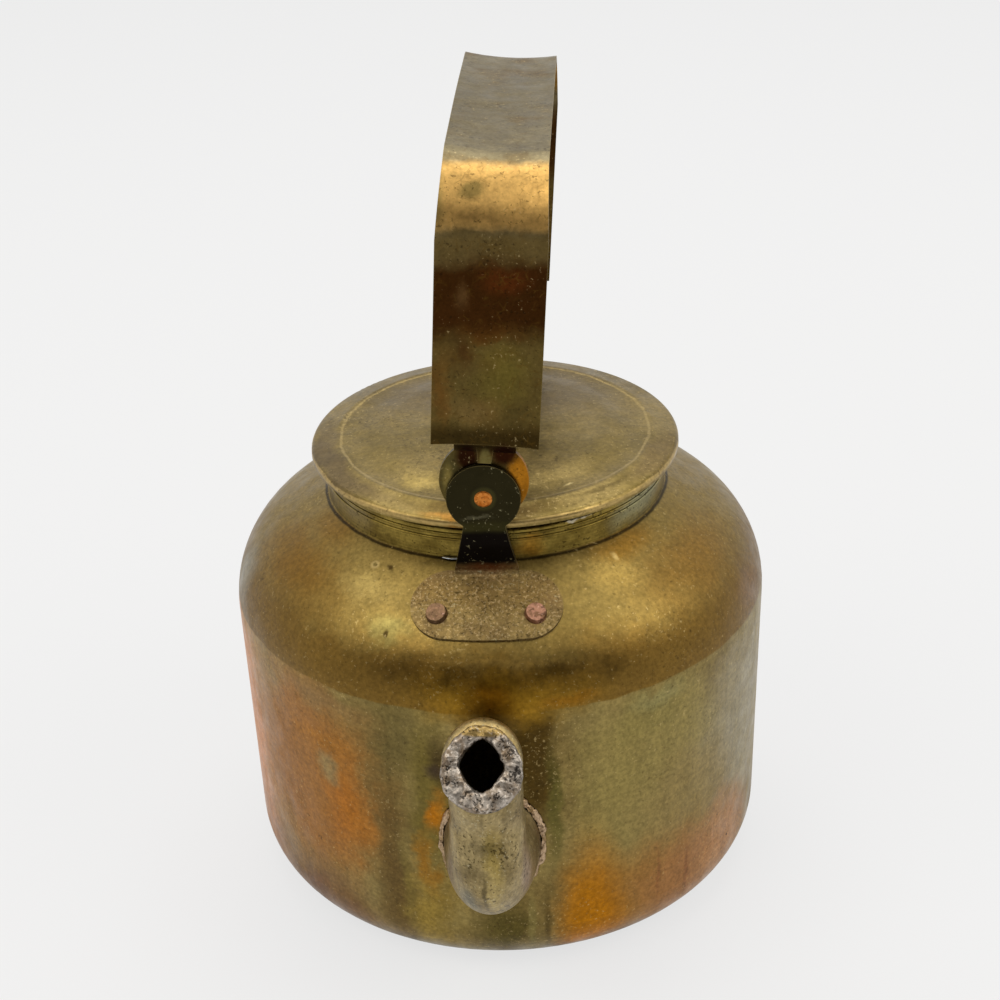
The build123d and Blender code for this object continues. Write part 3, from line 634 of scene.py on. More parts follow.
# Pressed brass sheet, rubbed by hands: warm khaki, with bright worn points, painted highlights on the slope,
# at the groove's edge and on the lip, painted shade under the lip, and grime with painted shade in the
# crease.
LID_BRASS = Finish(
    name="pressed_brass_lid",
    metal="#8E7A48",
    layers=(
        Clouds("#786636", 22),
        Stain("#64543A", (-86, 47.5, 129), (62, 5.5, ANY), 0.8, 0.7, 3.0),
        Stain("#6E5A38", (92, 47.5, 129), (34, 5.5, ANY), 0.6, 0.7, 3.0),
        Stain("#6C5C40", (200, 25, 131), (96, 34, ANY), 0.75, 0.8, 5.0),
        Stain("#6C5C40", (-200, 25, 131), (96, 34, ANY), 0.75, 0.8, 5.0),
        Stain("#584420", (0, 47, 129), (44, 5, ANY), 0.85, 0.8, 3.0),
        # Painted highlight along the groove's outer edge.
        Stain("#B49C64", (0, 42.6, 130), (ANY, 0.6, ANY), 0.55, 0.8, 0.7),
        Stain("#4A3B1A", (52, 45.4, 130), (26, 1.0, ANY), 0.55, 0.9, 2.0),
        # Painted highlight on the slope at the front left.
        Stain("#C2A860", (-40, 36.5, 131), (14, 5, ANY), 0.6, 0.9, 4.0),
        # Painted highlight streak at the right.
        Stain("#E8D090", (42, 39.6, 131), (4.0, 0.7, ANY), 0.7, 0.9, 1.4),
        Stain("#B07C34", (-14, 49.4, 129), (18, 1.6, ANY), 0.6, 0.9, 1.4),
        # Painted highlight along the top of the rolled lip, and painted shade under it.
        Stain("#BCA066", (0, 50.7, 128.9), (ANY, 0.6, 1.0), 0.7, 0.6, 0.5),
        Stain("#55431C", (0, 50.7, 126.6), (ANY, 0.7, 1.0), 0.7, 0.6, 0.4),
        Specks("#CDB47A", 0.9, 0.64, 0.32, 20.0, 0.3),
        Specks("#3A2B12", 1.0, 0.625, 0.5, 14.0, 0.4),
        Specks("#2A1D0C", 3.0, 0.76, 0.8, 30.0),
        Crazing("#5A4826", 20.0, 0.14, 0.4),
        Grain(1.1, 0.22),
        Grain(4, 0.08),
        Grain(0.9, 0.05, Layout.SECTION),
        GrimeAndShade(reach_mm=1.6, strength=0.6),
    ),
    bumps=(Bump(22, 0.3), Bump(5, 0.06), Bump(0.9, 0.03)),
    roughness=(0.3, 0.48),
)

# Spout: the yellow streak, the grey-green at its left and the darker bends
SPOUT_STAINS = stains(
    Layout.STRAIGHT,
    ("#A8967C", (0, -90, 31.5), (13, 14, 5), 0.8, 0.8, 2),
    ("#A08F80", (10.6, -92, 44), (2.4, 9, 26), 0.8, 0.7, 1),
    ("#A08F80", (-10.6, -92, 44), (2.4, 9, 26), 0.8, 0.7, 1),
    ("#A6925C", (1.6, -97, 48), (3.8, 14, 26), 0.7, 0.9, 2.4),
    ("#9A843F", (2, -97, 60), (3, 14, 12), 0.6, 0.95, 2.4),
    ("#666250", (-5, -95, 44), (3.6, 12, 7), 0.8, 0.8, 2.6),
    ("#4E4228", (-0.6, -95, 47), (0.8, 12, 12), 0.7, 0.8, 1.2),
    ("#54462A", (-3.5, -95, 55), (5.5, 12, 3.6), 0.6, 0.9, 2.6),
    ("#6E5A34", (13.4, -80, 50), (4, 9, 16), 0.8, 0.7, 1.6),
    ("#6E5A34", (-13.4, -80, 50), (4, 9, 16), 0.8, 0.7, 1.6),
    ("#A68E5C", (0, -90, 93), (12, 7, 6), 0.9, 0.7, 1),
)

# Brass tube, beaten and filed, gone beige-grey: a yellow streak down it, grey-green at its left.
SPOUT_BRASS = Finish(
    name="beaten_brass_spout",
    metal="#A08E64",
    layers=(
        Clouds("#81704A", (7, 7, 12), 0.42, 0.66),
        *SPOUT_STAINS,
        Specks("#33270F", 0.9, 0.61, 0.7, 8.0, 0.5),
        Specks("#D6CCA8", 0.8, 0.62, 0.35, 9.0, 0.3),
        Crazing("#4E4024", 7.0, 0.1, 0.45),
        Grain((1.4, 1.4, 12), 0.14),
        Grain(1.0, 0.28),
        GrimeAndShade(reach_mm=1.6, strength=0.6),
    ),
    bumps=(Bump((8, 8, 10), 0.4), Bump((2, 2, 5), 0.08), Bump(0.8, 0.035)),
    roughness=(0.34, 0.52),
)

# Mouth: black where the tin is pitted, bare brass showing at the top
MOUTH_STAINS = stains(
    Layout.STRAIGHT,
    ("#1E1A16", (6.4, -94.5, 91), (4.6, 4, 3.2), 0.8, 0.9, 1.6),
    ("#1E1A16", (9.2, -98, 86), (1.8, 6, 6), 0.7, 0.9, 1.2),
    ("#241E18", (4, -103, 78.6), (5, 5, 1.6), 0.75, 0.9, 1.2),
    ("#241E18", (-6.4, -102.4, 79.6), (4, 5, 1.4), 0.6, 0.9, 1.2),
    ("#A78C56", (0, -91, 96.4), (9.6, 6, 3.2), 1, 0.2, 0.7),
)

# Tin and lead wiped round the mouth: dull silver over black pits, brown where the tea stained it.
WIPED_TIN = Finish(
    name="wiped_tin_rim",
    metal="#B4AA9E",
    layers=(
        Clouds("#877560", 4, 0.4, 0.62),
        *MOUTH_STAINS,
        Specks("#1A1410", 0.8, 0.575, 0.85, 3.5, 0.6),
        Specks("#D8D0C4", 0.7, 0.6, 0.5, 3.0, 0.5),
        Grain(0.7, 0.25),
        GrimeAndShade(reach_mm=1.0, strength=0.5),
    ),
    bumps=(Bump(1.8, 0.2), Bump(0.7, 0.08)),
    roughness=(0.32, 0.55),
    polish_mm=1.5,
    metallic=0.9,
)

# Soft solder wiped round a joint and browned by the heat, pale where it was scraped.
SOLDER = Finish(
    name="wiped_solder_bead",
    metal="#BEA384",
    layers=(
        Clouds("#957A52", 5, 0.42, 0.62),
        Specks("#5A4226", 1.1, 0.6, 0.6, 4.0),
        Grain(0.8, 0.2),
        GrimeAndShade(reach_mm=1.0, strength=0.6),
    ),
    bumps=(Bump(2.5, 0.15), Bump(0.8, 0.04)),
    roughness=(0.38, 0.55),
    metallic=0.85,
)

# Clean solder, still bluish white where it squeezed out under the neck.
BRIGHT_SOLDER = Finish(
    name="bright_solder",
    metal="#A6A8A8",
    layers=(Clouds("#8E9296", 1.5), Grain(0.8, 0.15), GrimeAndShade(reach_mm=0.6, strength=0.4)),
    bumps=(Bump(2.5, 0.05),),
    roughness=(0.35, 0.5),
)

# Front leg from its bend down to the lug, and the top, with painted shade at the leg's lower bend and beside
# the lug's rib
STRAP_STAINS = stains(
    Layout.STRAIGHT,
    ("#6E6244", (4, 0, 228), (ANY, 46, 7), 0.85, 0.6, 2),
    ("#6C5E28", (6, -56, 172), (9, 14, 12), 0.8, 0.9, 3),
    ("#4A2C12", (-4, -56, 178), (5, 14, 7), 0.7, 0.9, 4),
    ("#6A4418", (4, -56, 184), (12, 14, 5), 0.8, 0.9),
    ("#67451C", (-9, -56, 168), (4, 14, 18), 0.7, 0.9, 4),
    ("#463A1C", (9, -56, 162), (6, 14, 7), 0.6, 0.9, 4),
    ("#7A6238", (-2, -56, 163), (9, 14, 6), 0.5, 0.9, 2.6),
    ("#3A200A", (4, -56, 193), (ANY, 16, 15), 0.97, 0.6, 3),
    ("#64522C", (4, -58, 206), (ANY, 16, 7), 0.9, 0.9, 2),
    ("#3A200A", (4, 56, 195), (ANY, 16, 16), 0.9, 0.6, 3),
    ("#5A2C10", (8, -56, 197), (8, 14, 5), 0.7, 0.9, 3),
    ("#6A4E2C", (-3, -56, 193), (2.6, 14, 6), 0.5, 0.9, 2.4),
    # Painted shade where the strap bends in at its lower end.
    ("#2E220C", (3, -56, 154.5), (ANY, 14, 6.4), 0.85, 0.8, 1.6),
    ("#CCA25C", (4, -62, 218.4), (ANY, 20, 11), 0.97, 0.2, 1.6),
    ("#A8803C", (4, 62, 218.4), (ANY, 17, 10.4), 0.8, 0.3, 1.2),
    ("#C48C54", (6, -52, 224), (13, 8, 4), 0.75, 0.8, 2),
    ("#857644", (-8.5, -56, 217), (3.6, 14, 11), 0.7, 0.8, 1.6),
    ("#776638", (0.5, -56, 217.5), (4.6, 14, 3), 0.8, 0.5, 2),
    ("#4A4224", (-8.8, -53, 144), (4.6, 6, 11), 0.95, 0.7, 1.4),
    ("#9E8A4A", (-9.4, -53, 143), (1.8, 6, 7), 0.5, 0.9, 1.4),
    ("#B0731C", (10.2, -53, 143), (5, 6, 9), 0.95, 0.6, 1.4),
    ("#7A4C10", (11, -53, 139), (3, 6, 5), 0.6, 0.9, 1.4),
    # Painted shade in the joggle on both sides of the rib.
    ("#260E06", (-4, -53, 149.5), (3.8, 6, 6), 0.95, 0.6, 1),
    ("#2A0E06", (6, -53, 150), (5.2, 6, 5.4), 0.95, 0.6, 1.4),
    ("#6E6438", (0.9, -53, 148.2), (1.9, 6, 5), 0.85, 0.4, 0.4),
)

# Flat brass strip, bent cold: grey-brown on top, gold scale at the bend, burnt dark down the leg, then
# olive with painted shade at its lower bend, and at the lug painted red-black shade beside the rib, olive on
# one side and amber on the other.
HANDLE_BRASS = Finish(
    name="bent_brass_strap",
    metal="#7E7254",
    layers=(
        Clouds("#6A5E42", 16),
        Stain("#5C4C24", (3, -56, 166), (ANY, 14, 44), 0.95, 0.3, 2.0, Layout.STRAIGHT),
        Stain("#5C4C24", (3, 56, 166), (ANY, 14, 44), 0.95, 0.3, 2.0, Layout.STRAIGHT),
        Clouds("#6B4E20", 12, 0.46, 0.7, 0.5),
        *STRAP_STAINS,
        Specks("#BDA878", 0.9, 0.655, 0.35, 12.0, 0.4),
        Specks("#1E1408", 1.0, 0.63, 0.5, 14.0, 0.4),
        Crazing("#5A4218", 2.2, 0.2, 0.5),
        Grain(0.9, 0.16),
        Grain((3, 3, 6), 0.12),
        RubbedEdge("#A08C5A", 0.35, 0.5),
        GrimeAndShade(reach_mm=2.0),
    ),
    bumps=(Bump(20, 0.35), Bump(5, 0.06), Bump(0.9, 0.03)),
    roughness=(0.34, 0.52),
)

# Bracket's arm and eye, from the near-black at the bend to the rim of the pin's hole
ARM_STAINS = stains(
    Layout.STRAIGHT,
    ("#6A3410", (1, 0, 117.6), (10, ANY, 3.2), 0.8, 0.9, 1.4),
    ("#0D0703", (0, 0, 124.4), (ANY, ANY, 7.2), 1, 0.3, 0.9),
    ("#2B2611", (0, 0, 142), (ANY, ANY, 13.2), 1, 0.06, 0.3),
    ("#3C3818", (0, 0, 130.4), (ANY, ANY, 2.4), 0.6, 0.9, 0.8),
    ("#1A160A", (0, 0, 138.2), (4.6, ANY, 4.6), 0.8, 0.6, 0.5),
    ("#45401F", (0, 0, 138.2), (3.8, ANY, 3.8), 0.7, 0.3, 0.4),
    ("#8C8668", (-1.6, 0, 133.4), (5, ANY, 0.7), 0.3, 0.9, 1.6),
)

# Brass plate with the scale from forging left on: gritty tan, near-black up the arm, olive-black at the eye.
BRACKET_BRASS = Finish(
    name="forged_brass_bracket",
    metal="#8C7647",
    layers=(
        Clouds("#75603A", 9),
        Clouds("#866A4C", 14, 0.5, 0.7, 0.5),
        Stain("#7E6434", (0, 0, 112), (ANY, ANY, 4), 0.5, 0.9, 1.5, Layout.STRAIGHT),
        Specks("#BAA274", 0.75, 0.565, 0.5, 6.0, 0.2),
        Specks("#3C2E14", 0.85, 0.58, 0.6, 6.0, 0.2),
        Grain(1.0, 0.3),
        *ARM_STAINS,
        Specks("#A8A07A", 0.9, 0.68, 0.6, 7.0),
        RubbedEdge("#93804E", 0.35, 0.6),
        GrimeAndShade(reach_mm=1.4, strength=0.9),
    ),
    bumps=(Bump(9, 0.12), Bump(0.9, 0.07)),
    roughness=(0.42, 0.62),
    metallic=0.92,
)

# The plain turned washer between the lug and the lid, dark with old grease.
WASHER_BRASS = Finish(
    name="brass_pivot_washer",
    metal="#6A5222",
    layers=(Clouds("#3A2A10", 5), Grain(0.9, 0.2), RubbedEdge("#93804E"), GrimeAndShade(reach_mm=1.5)),
    bumps=(Bump(6, 0.1),),
    roughness=(0.3, 0.45),
)

# Copper rivets, hammered over: pinkish brown, darker on the left one.
RIVET_COPPER = Finish(
    name="hammered_copper_rivet",
    metal="#A67A62",
    layers=(
        Clouds("#785840", 2.4, 0.4, 0.62),
        Stain("#6B573E", (-13, -61, 107), (5, ANY, ANY), 0.7, 0.3, 0.5, Layout.STRAIGHT),
        Specks("#3E2A1E", 1.0, 0.61, 0.6, 4.0),
        Specks("#D2A692", 0.9, 0.63, 0.4, 4.0),
        Grain(0.8, 0.2),
        GrimeAndShade(reach_mm=1.3, strength=0.9),
    ),
    bumps=(Bump(1.5, 0.2), Bump(0.5, 0.04)),
    roughness=(0.35, 0.55),
    polish_mm=2.0,
)

# Copper pin, kept bright by the lug that turns on it.
PIN_COPPER = Finish(
    name="bright_copper_pin",
    metal="#D0843C",
    layers=(Clouds("#A85C1E", 1.4), Specks("#4E2408", 0.9, 0.62, 0.6, 3.0), GrimeAndShade(reach_mm=0.7)),
    bumps=(Bump(1.2, 0.1), Bump(0.4, 0.03)),
    roughness=(0.3, 0.5),
    polish_mm=1.5,
)

FINISH_NODES: tuple[tuple[Finish, tuple[str, ...]], ...] = (
    (BODY_BRASS, ("body_shell", "base_disc")),
    (SOLDER, ("base_solder_seam",)),
    (NECK_BRASS, ("neck_ring",)),
    (BRIGHT_SOLDER, ("neck_solder_seam",)),
    (SPOUT_BRASS, ("spout",)),
    (BRACKET_BRASS, ("front_bracket", "rear_bracket")),
    (RIVET_COPPER, ("front_bracket_rivets", "rear_bracket_rivets", "front_rivet_roves", "rear_rivet_roves")),
    (PIN_COPPER, ("front_pivot_pin", "rear_pivot_pin")),
    (WASHER_BRASS, ("front_pivot_washer", "rear_pivot_washer")),
    (HANDLE_BRASS, ("handle_strap",)),
    (LID_BRASS, ("lid_disc", "lid_skirt", "lid_knob")),
    (RIVET_COPPER, ("lid_knob_rove",)),
)


class FinishShop:
    """Builds each finish once and puts it on the pieces."""

    def __init__(self) -> None:
        """Starts with no material made."""
        self.made: dict[str, bpy.types.Material] = {}

    def dress(self, piece: bpy.types.Object, finish: Finish) -> None:
        """Puts a finish on every face of a piece.

        Args:
            piece: the piece to dress.
            finish: the finish, whose material is made the first time it is used.
        """
        if finish.name not in self.made:
            self.made[finish.name] = finish.build()
        piece.data.materials.clear()
        piece.data.materials.append(self.made[finish.name])
        LOG.info("%s takes %s", piece.name, finish.name)


def packed_copy(node: str) -> Form:
    """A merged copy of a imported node's mesh, to be worked further."""
    form = bmesh.new()
    form.from_mesh(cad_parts[node].data)
    bmesh.ops.remove_doubles(form, verts=form.verts, dist=metres(MERGE_MM))
    return form


def put_in_scene(name: str, data: Any) -> bpy.types.Object:
    """Puts a new object with its mesh, light or camera in the scene, at the origin."""
    thing = bpy.data.objects.new(name, data)
    bpy.context.scene.collection.objects.link(thing)
    return thing


def mesh_object(name: str, form: Form) -> bpy.types.Object:
    """Puts a shape in the scene as an object with one mesh, and frees it."""
    mesh = bpy.data.meshes.new(name)
    form.to_mesh(mesh)
    form.free()
    return put_in_scene(name, mesh)


def modified(rough: bpy.types.Object, kind: str, **settings: Any) -> Form:
    """What a modifier makes of an object, which is removed.

    Args:
        rough: the object.
        kind: the modifier's type, as Blender names it.
        **settings: properties of the modifier.

    Returns:
        The modified shape.
    """
    modifier = rough.modifiers.new(kind.lower(), kind)
    for name, value in settings.items():
        setattr(modifier, name, value)
    graph = bpy.context.evaluated_depsgraph_get()
    form = bmesh.new()
    form.from_mesh(rough.evaluated_get(graph).to_mesh())
    bpy.data.meshes.remove(rough.data)
    return form


def raised_verts(raised: dict[str, Any]) -> list[bmesh.types.BMVert]:
    """The vertices among what an extrusion made."""
    return [item for item in raised["geom"] if isinstance(item, bmesh.types.BMVert)]


def new_piece(name: str, form: Form, body: str, crisp: float = 180.0) -> bpy.types.Object:
    """Turns a finished bmesh into a smooth-shaded piece that rides on a body.

    Args:
        name: the piece's name.
        form: its shape in the kettle's frame, which is freed.
        body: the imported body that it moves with.
        crisp: angle in degrees from which an edge stays sharp.

    Returns:
        The new object, at the origin.
    """
    bmesh.ops.recalc_face_normals(form, faces=form.faces)
    for face in form.faces:
        face.smooth = True
    for edge in form.edges:
        edge.smooth = edge.calc_face_angle(0.0) < math.radians(crisp)
    piece = mesh_object(name, form)
    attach(piece, body)
    LOG.info("built %s with %d faces", name, len(piece.data.polygons))
    return piece


def spun_oval(
    half_mm: tuple[float, float],
    middle_mm: tuple[float, float],
    points: int,
    steps: int,
    squareness: float = 1.0,
    begin: float = 0.0,
    sweep: float = 360.0,
) -> Form:
    """Spins an oval section about the upright axis.

    Args:
        half_mm: its half width and half height.
        middle_mm: its middle's distance from the axis and height.
        points: number of points round it.
        steps: number of steps that it is spun in.
        squareness: power that squares the section: 1 leaves it round.
        begin: where the spin begins, in degrees from the right.
        sweep: how far it goes round, in degrees.

    Returns:
        The shape, closed on itself where it goes all the way round.
    """
    form = bmesh.new()
    section = bmesh.ops.create_circle(form, cap_ends=False, segments=points, radius=1.0)["verts"]
    for vert in section:
        vert.co.x = math.copysign(abs(vert.co.x) ** squareness, vert.co.x)
        vert.co.y = math.copysign(abs(vert.co.y) ** squareness, vert.co.y)
    bmesh.ops.scale(form, vec=(*map(metres, half_mm), 1.0), verts=section)
    bmesh.ops.translate(form, vec=(*map(metres, middle_mm), 0.0), verts=section)
    bmesh.ops.rotate(form, matrix=Matrix.Rotation(math.pi / 2, 3, "X"), verts=section)
    bmesh.ops.rotate(form, matrix=Matrix.Rotation(math.radians(begin), 3, "Z"), verts=section)
    bmesh.ops.spin(
        form,
        geom=list(form.verts) + list(form.edges),
        axis=(0.0, 0.0, 1.0),
        cent=(0.0, 0.0, 0.0),
        angle=math.radians(sweep),
        steps=steps,
        use_merge=sweep == 360.0,
        use_duplicate=False,
    )
    return form


@dataclass(frozen=True)
class Lumps:
    """Smooth unevenness of hand-worked metal, the same on each run.

    Attributes:
        waves: size in millimetres, seed and share of each noise that they are the sum of.
        height_mm: their height where the noise is 1.
        sink: noise value at which the surface stays where it is.
    """

    waves: tuple[tuple[float, float, float], ...]
    height_mm: float = 1.0
    sink: float = 0.0

    def noise_at(self, place: Vector) -> float:
        """Sum of the noises at a place, about 0."""
        seeds = ((size, Vector((seed, -seed, 2.0 * seed)), share) for size, seed, share in self.waves)
        return sum(share * noise.noise(place / metres(size) + seed) for size, seed, share in seeds)

    def raise_vert(self, vert: bmesh.types.BMVert, share: float = 1.0) -> None:
        """Moves a vertex along its normal by a share of the lumps' height there."""
        height = self.noise_at(vert.co) - self.sink
        vert.co += vert.normal * metres(self.height_mm) * height * share


@dataclass
class LuggedStrap:
    """The handle's strap, with its lugs cut round down to their narrow necks.

    Attributes:
        hinge_mm: height of the pivots.
        lug_mm: height of the lugs' centres above the pivots.
        radius_mm: radius of the lugs.
        neck_mm: half width of the neck between a lug and the strap.
        foot_mm: height of the strap's lower end above the pivots.
        lean: how far the handle leans, in degrees.
        near_mm: distance from the axis at which the cut starts.
        far_mm: distance at which it ends.
        beside_mm: how far the cut reaches past the lug's side.
    """

    hinge_mm: float = 138.224
    lug_mm: float = 4.6
    radius_mm: float = 11.25
    neck_mm: float = 7.7
    foot_mm: float = 15.25
    lean: float = 3.8
    near_mm: float = 46.0
    far_mm: float = 66.0
    beside_mm: float = 1.5
    arc_steps: int = 20

    def build(self) -> bpy.types.Object:
        """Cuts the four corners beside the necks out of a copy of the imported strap.

        Returns:
            The piece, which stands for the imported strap.
        """
        strap = mesh_object("strap_rough", packed_copy("handle_strap"))
        cutters = mesh_object("lug_cutters", self._cutters())
        form = modified(strap, "BOOLEAN", operation="DIFFERENCE", object=cutters)
        bpy.data.meshes.remove(cutters.data)
        piece = new_piece("handle_lugged_strap", form, "handle", SHEET_CRISP)
        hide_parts("handle_strap")
        return piece

    def _cutters(self) -> Form:
        """One block for each corner that is cut away: a square corner less the lug's round."""
        form = bmesh.new()
        begin = math.asin(self.neck_mm / self.radius_mm)
        turns = [begin + (math.pi / 2 - begin) * step / self.arc_steps for step in range(self.arc_steps + 1)]
        round_edge = [(self.radius_mm * math.sin(turn), self.radius_mm * math.cos(turn)) for turn in turns]
        side = self.radius_mm + self.beside_mm
        outline = [(out, up + self.lug_mm) for out, up in round_edge]
        outline += [(side, self.lug_mm), (side, self.foot_mm), (self.neck_mm, self.foot_mm)]
        for across in (-1.0, 1.0):
            for along in (-1.0, 1.0):
                places = [(across * out, along * self.near_mm, up) for out, up in outline]
                face = form.faces.new([form.verts.new(Vector(map(metres, place))) for place in places])
                raised = raised_verts(bmesh.ops.extrude_face_region(form, geom=[face]))
                reach = Vector((0.0, along * metres(self.far_mm - self.near_mm), 0.0))
                bmesh.ops.translate(form, vec=reach, verts=raised)
        bmesh.ops.rotate(form, matrix=Matrix.Rotation(math.radians(self.lean), 3, "Y"), verts=form.verts)
        bmesh.ops.translate(form, vec=(0.0, 0.0, metres(self.hinge_mm)), verts=form.verts)
        bmesh.ops.recalc_face_normals(form, faces=form.faces)
        return form


@dataclass
class LidSheet:
    """The lid's sheet, with its pressed groove worn shallow.

    Attributes:
        groove_mm: radius of the groove.
        reach_mm: how far from the groove the sheet is changed.
        lift_mm: how much the groove's bottom rises.
    """

    groove_mm: float = 41.5
    reach_mm: float = 3.4
    lift_mm: float = 0.48

    def build(self) -> bpy.types.Object:
        """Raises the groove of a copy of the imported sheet.

        Returns:
            The piece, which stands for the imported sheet.
        """
        form = packed_copy("lid_disc")
        for vert in form.verts:
            aside = (math.hypot(vert.co.x, vert.co.y) - metres(self.groove_mm)) / metres(self.reach_mm)
            if abs(aside) < 1.0:
                vert.co.z += metres(self.lift_mm) * (1.0 - aside * aside) ** 2
        piece = new_piece("lid_sheet", form, "lid", SHEET_CRISP)
        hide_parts("lid_disc")
        return piece


@dataclass
class SpoutTin:
    """The thick ring of tin wiped round the spout's mouth, with its pointed hole and pouring notch.

    Attributes:
        out_mm: distance of the mouth's centre in front of the axis.
        height_mm: its height.
        rise: angle of the mouth's direction above level, in degrees.
        outer_mm: outer radius of the ring.
        hole_mm: half width of the hole.
        hole_point_mm: half height of the hole, to its points.
        hole_roundness: 1 for a straight-sided diamond, 2 for an ellipse.
        hole_rise_mm: how far the hole's centre lies above the ring's.
        top_mm: how much farther the ring reaches at its top, to fill the oval mouth.
        squareness: power that squares the ring's section: 1 leaves it round.
        front_mm: how far the ring stands out of the mouth.
        back_mm: how far it goes into the mouth.
        notch_mm: depth of the pouring notch below the hole.
        notch_half_angle: half its spread, in degrees.
        notch_turn: how far it lies to the left of straight down, in radians.
        notch_run: how fast it deepens inward: 1 takes the ring's whole width.
        lumps: unevenness of the outer face.
        lump_fade_mm: depth to both sides of the mouth's plane in which they fade out.
    """

    out_mm: float = 98.04
    height_mm: float = 86.3
    rise: float = 37.0
    outer_mm: float = 10.1
    hole_mm: float = 5.4
    hole_point_mm: float = 6.4
    hole_roundness: float = 1.45
    hole_rise_mm: float = 1.5
    top_mm: float = 1.35
    squareness: float = 0.6
    front_mm: float = 1.9
    back_mm: float = 1.3
    notch_mm: float = 0.99
    notch_half_angle: float = 20.0
    notch_turn: float = 0.1
    notch_run: float = 1.6
    lumps: Lumps = Lumps(((3.2, 3.1, 1.0), (1.3, 7.7, 0.5), (0.6, 1.9, 0.25)), height_mm=0.55, sink=0.25)
    lump_fade_mm: float = 0.6
    steps: int = 220
    section_points: int = 36

    def hole(self, turn: float) -> float:
        """Distance in millimetres from the hole's centre to its edge, by the turn from its right."""
        across = abs(math.cos(turn)) / self.hole_mm
        along = abs(math.sin(turn)) / self.hole_point_mm
        power = self.hole_roundness
        return (across**power + along**power) ** (-1.0 / power)

    def build(self) -> bpy.types.Object:
        """Spins the ring's section, draws the hole to its points and works the surface by hand.

        Returns:
            The piece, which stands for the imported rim.
        """
        half = (self.outer_mm - self.hole_mm) / 2
        thick = (self.front_mm + self.back_mm) / 2
        middle = (self.hole_mm + half, self.front_mm - thick)
        form = spun_oval((half, thick), middle, self.section_points, self.steps, self.squareness)
        bmesh.ops.remove_doubles(form, verts=form.verts, dist=metres(MERGE_MM))
        self._draw_hole(form)
        form.normal_update()
        fade = metres(self.lump_fade_mm)
        for vert in form.verts:
            self.lumps.raise_vert(vert, min(1.0, max(0.0, (vert.co.z + fade) / (2.0 * fade))))
        turn = math.radians(90.0 - self.rise)
        bmesh.ops.rotate(form, matrix=Matrix.Rotation(turn, 3, "X"), verts=form.verts)
        bmesh.ops.translate(form, vec=(0.0, -metres(self.out_mm), metres(self.height_mm)), verts=form.verts)
        piece = new_piece("spout_tin_rim", form, "root")
        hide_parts("spout_rim")
        return piece

    def _draw_hole(self, form: Form) -> None:
        """Draws a round ring's inner side to the hole and its outer side to the mouth, with the notch."""
        spread = math.radians(self.notch_half_angle)
        for vert in form.verts:
            radius = math.hypot(vert.co.x, vert.co.y)
            turn = math.atan2(vert.co.y, vert.co.x)
            inward = (metres(self.outer_mm) - radius) / metres(self.outer_mm - self.hole_mm)
            ray = Vector((math.cos(turn), math.sin(turn)))
            outer = ray * metres(self.outer_mm)
            outer.y += metres(self.top_mm) * max(0.0, ray.y) ** 2
            hole = ray * metres(self.hole(turn)) + Vector((0.0, metres(self.hole_rise_mm)))
            vert.co.xy = outer.lerp(hole, inward)
            aside = abs(math.remainder(turn + math.pi / 2 + self.notch_turn, math.tau)) / spread
            if aside < 1.0 and vert.co.z > 0.0:
                vert.co.z -= metres(self.notch_mm) * (1.0 - aside) * min(1.0, inward * self.notch_run)


@dataclass
class RootSolder:
    """The solder wiped round the spout's root, lumpy and wider at the right.

    Attributes:
        voxel_mm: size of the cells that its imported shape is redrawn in.
        lumps: its unevenness.
        smoothing: how far each vertex is drawn back among its neighbours.
    """

    voxel_mm: float = 0.24
    lumps: Lumps = Lumps(((3.4, 5.3, 1.0), (1.5, 2.2, 0.6), (0.7, 8.8, 0.3)), height_mm=0.75, sink=0.1)
    smoothing: float = 0.3

    def build(self) -> bpy.types.Object:
        """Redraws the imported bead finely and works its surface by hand.

        Returns:
            The piece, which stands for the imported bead.
        """
        rough = mesh_object("root_solder_rough", packed_copy("spout_solder_bead"))
        form = modified(rough, "REMESH", mode="VOXEL", voxel_size=metres(self.voxel_mm))
        form.normal_update()
        for vert in form.verts:
            self.lumps.raise_vert(vert)
        axes = {"use_axis_x": True, "use_axis_y": True, "use_axis_z": True}
        bmesh.ops.smooth_vert(form, verts=form.verts, factor=self.smoothing, **axes)
        piece = new_piece("spout_root_solder", form, "root")
        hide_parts("spout_solder_bead")
        return piece


